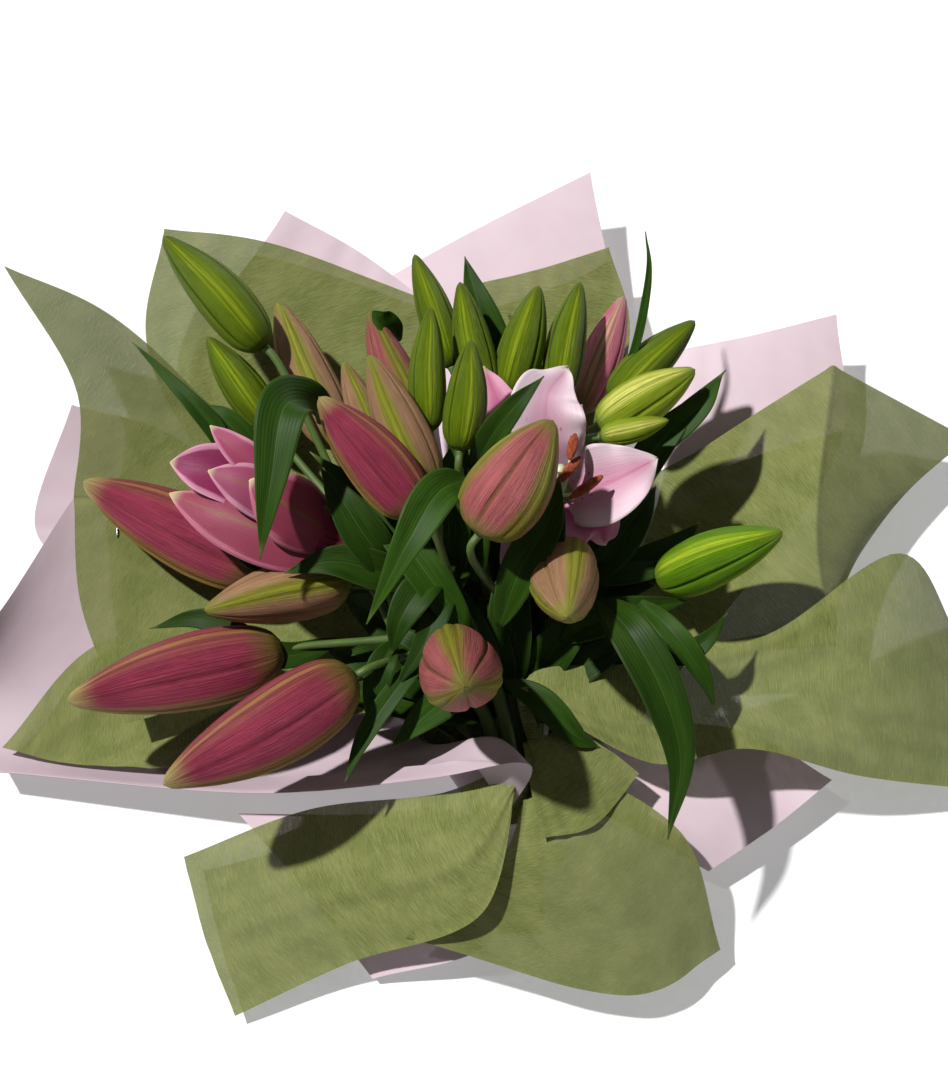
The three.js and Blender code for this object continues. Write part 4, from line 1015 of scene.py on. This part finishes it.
def throat_row(layer, arc, count, y):
    radius = FIRST_LAYER_RADIUS + layer * SHEET_PITCH
    angle = np.radians(np.linspace(arc[0], arc[1], count))
    return np.stack([TIE_CENTRE[0] + np.cos(angle) * radius, np.full(count, y),
                     TIE_CENTRE[2] + np.sin(angle) * radius], axis=1)


def crisp(control, places, axis):
    """Adds a row close on each side of the named ones, so that the sheet folds sharply there."""
    lines = list(np.moveaxis(control, axis, 0))
    for k in sorted(places, reverse=True):
        nearer = lines[k] + 0.07 * (lines[k - 1] - lines[k])
        farther = lines[k] + 0.07 * (lines[k + 1] - lines[k])
        lines[k:k + 1] = [nearer, lines[k], farther]
    return np.moveaxis(np.stack(lines), 0, axis)


def sheet_grid(name, layer, arc, rows, u, v):
    count = len(rows[0])
    behind = throat_row(layer, arc, count, TIE_CENTRE[1] - TIE_WIDTH)
    ahead = throat_row(layer, arc, count, TIE_CENTRE[1] + TIE_WIDTH / 2 + THROAT_LEAD / 2)
    control = np.stack([behind, ahead] + [np.array(row, float) for row in rows])
    fold_rows, fold_columns = SHARP_FOLDS.get(name, ((), ()))
    control = crisp(crisp(control, fold_rows, 0), fold_columns, 1)
    across = spline(control.transpose(1, 0, 2), u)
    return spline(across.transpose(1, 0, 2), v)


def flat_places(grid):
    """Each point's place on the sheet before it was folded, in millimetres from its middle line."""
    middle = grid.shape[1] // 2
    across = np.cumsum(np.linalg.norm(np.diff(grid, axis=1, prepend=grid[:, :1]), axis=2), axis=1)
    across = across - across[:, middle:middle + 1]
    steps = np.linalg.norm(np.diff(grid, axis=0, prepend=grid[:1]), axis=2)
    along = np.cumsum(steps, axis=0)
    return np.stack([across, along, np.zeros_like(along)], axis=-1)


def sheet_area(grid):
    across = np.diff(grid, axis=1)[:-1]
    along = np.diff(grid, axis=0)[:, :-1]
    return np.linalg.norm(np.cross(across, along), axis=-1).sum()


def creased(grid, index, depth):
    """Adds the slight creases of handled wrap, none inside the tie."""
    rows, columns = grid.shape[:2]
    u = np.linspace(0, 1, columns)[None]
    v = np.linspace(0, 1, rows)[:, None]
    lift = np.zeros((rows, columns))
    for k in range(4):
        waves, slant, start = 1.3 + 1.7 * k, math.sin(index * 2.3 + k), index * 1.1 + k * 2.7
        lift += np.sin(2 * math.pi * (waves * u + slant * v) + start) / (1 + 0.9 * k)
    return grid + grid_normals(grid) * (lift * depth * smooth(0.2, 0.7, v))[..., None]


for index, (name, layer, arc, rows) in enumerate(SHEETS):
    u = np.linspace(0, 1, SHEET_COLUMNS)
    v = np.linspace(0, 1, SHEET_ROWS)
    grid = sheet_grid(name, layer, arc, rows, u, v)
    pink = name.startswith("paper")
    places = flat_places(grid)
    grid = creased(grid, index, 0.25 if pink else 0.5)
    points, faces, sharp = slab(grid, SHEET_THICKNESS)
    flat = np.concatenate([places.reshape(-1, 3)] * 2)
    if pink:
        # The left papers get a tone below 1 here: painted shade.
        material = paper_material(name + "_finish", index * 3.1, PAPER_SHADE_TONES.get(name, 1.0))
    else:
        material = wrap_material(name + "_finish", index * 5.3, 0.5 + 0.9 * math.sin(index * 1.7))
    piece = make_object(name + "_sheet", points, faces, material,
                        {"flat": flat}, sharp)
    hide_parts(name)
    width, length, area = FLAT_SIZES[name]


# ---------- tie ----------
def ring_part(radius, y, half_width, half_depth, around=180, sides=18):
    turn = np.linspace(0, 2 * math.pi, around, endpoint=False)[:, None]
    angle = np.linspace(0, 2 * math.pi, sides, endpoint=False)[None]
    lay = 1 - 0.14 + 0.14 * np.cos(3 * angle + 26 * turn)
    out = radius + half_depth * np.cos(angle) * lay
    grid = np.stack([TIE_CENTRE[0] + out * np.cos(turn), y + half_width * np.sin(angle) * lay + 0 * turn,
                     TIE_CENTRE[2] + out * np.sin(turn)], axis=-1)
    faces = []
    for r in range(around):
        for c in range(sides):
            s, d = (r + 1) % around, (c + 1) % sides
            faces.append((r * sides + c, s * sides + c, s * sides + d, r * sides + d))
    place = np.stack(np.broadcast_arrays(angle, turn * 8, 0 * turn), axis=-1)
    return grid.reshape(-1, 3), faces, place.reshape(-1, 3)


tie_radius = (TIE_INNER_RADIUS + TIE_OUTER_RADIUS) / 2
tie_half = TIE_WIDTH / TIE_TURNS / 2
rings = [ring_part(tie_radius, TIE_CENTRE[1] + (k - 1) * 2 * tie_half, tie_half,
                   (TIE_OUTER_RADIUS - TIE_INNER_RADIUS) / 2) for k in range(TIE_TURNS)]
points, faces, values = join(rings)
piece = make_object("tie_band", points, faces,
                    plain_detail_material("twine_finish", (0.34, 0.27, 0.15), (0.56, 0.47, 0.30),
                                          (2.0, 3.5, 1.0), 0.9, 0.8), {"run": values})
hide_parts("tie")


# ---------- staple ----------
place_u, place_v = STAPLE_PLACE
name, layer, arc, rows = SHEETS[0]
around = sheet_grid(name, layer, arc, rows, [place_u - 0.01, place_u, place_u + 0.01],
                    [place_v - 0.01, place_v, place_v + 0.01])
across = unit(around[1, 2] - around[1, 0])
normal = unit(np.cross(across, around[2, 1] - around[0, 1]))
crown = around[1, 1] + normal * (0.3 + 0.35 + STAPLE_WIRE)
half = STAPLE_LENGTH / 2
corners = [crown - across * half - normal * 1.2, crown - across * half - normal * 0.45,
           crown - across * (half - 0.5), crown + across * (half - 0.5),
           crown + across * half - normal * 0.45, crown + across * half - normal * 1.2]
points, faces, values = tube_part(spline(corners, np.linspace(0, 1, 60)), STAPLE_WIRE / 2, 14)
piece = make_object("staple_wire", points, faces,
                    plain_detail_material("steel_finish", (0.62, 0.63, 0.64), (0.78, 0.79, 0.80),
                                          (0.8, 5.0, 5.0), 0.28, 0.15, 1.0), {"run": values})
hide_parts("staple")


# ---------- floor, light and camera ----------
FLOOR_SIZE = 14.0
CAMERA_DISTANCE = 1.3
CAMERA_RISE = math.radians(78)
CAMERA_AIM = metres([0, 30, 60])
LENS = 80.1

bpy.ops.mesh.primitive_plane_add(size=FLOOR_SIZE, location=(0, 0, -0.0006))
floor = bpy.context.object
floor.name = "floor"
g = Graph("floor_finish")
g.surface(Base_Color=(0.72, 0.72, 0.72), Roughness=0.9, Emission_Color=(1.0, 1.0, 1.0),
          Emission_Strength=0.26)
floor.data.materials.append(g.material)

world = bpy.data.worlds.new("studio")
bpy.context.scene.world = world
world.use_nodes = True
world.node_tree.nodes["Background"].inputs["Color"].default_value = (1, 1, 1, 1)
world.node_tree.nodes["Background"].inputs["Strength"].default_value = 0.13


def sun(name, toward, strength, spread):
    light = bpy.data.lights.new(name, "SUN")
    light.energy = strength
    light.angle = math.radians(spread)
    lamp = bpy.data.objects.new(name, light)
    lamp.rotation_euler = Vector(toward).to_track_quat("-Z", "Y").to_euler()
    bpy.context.collection.objects.link(lamp)


sun("key", (0.52, -0.38, -0.98), 4.5, 2.0)
sun("fill", (-0.5, -0.3, -0.9), 0.06, 60.0)

camera_data = bpy.data.cameras.new("camera")
camera_data.lens = LENS
camera_data.sensor_width = 36
camera_data.clip_end = 20
camera = bpy.data.objects.new("camera", camera_data)
toward = Vector((0, math.cos(CAMERA_RISE), -math.sin(CAMERA_RISE)))
camera.location = Vector(CAMERA_AIM) - toward * CAMERA_DISTANCE
camera.rotation_euler = toward.to_track_quat("-Z", "Y").to_euler()
bpy.context.collection.objects.link(camera)
bpy.context.scene.camera = camera
bpy.context.scene.view_settings.view_transform = "Standard"
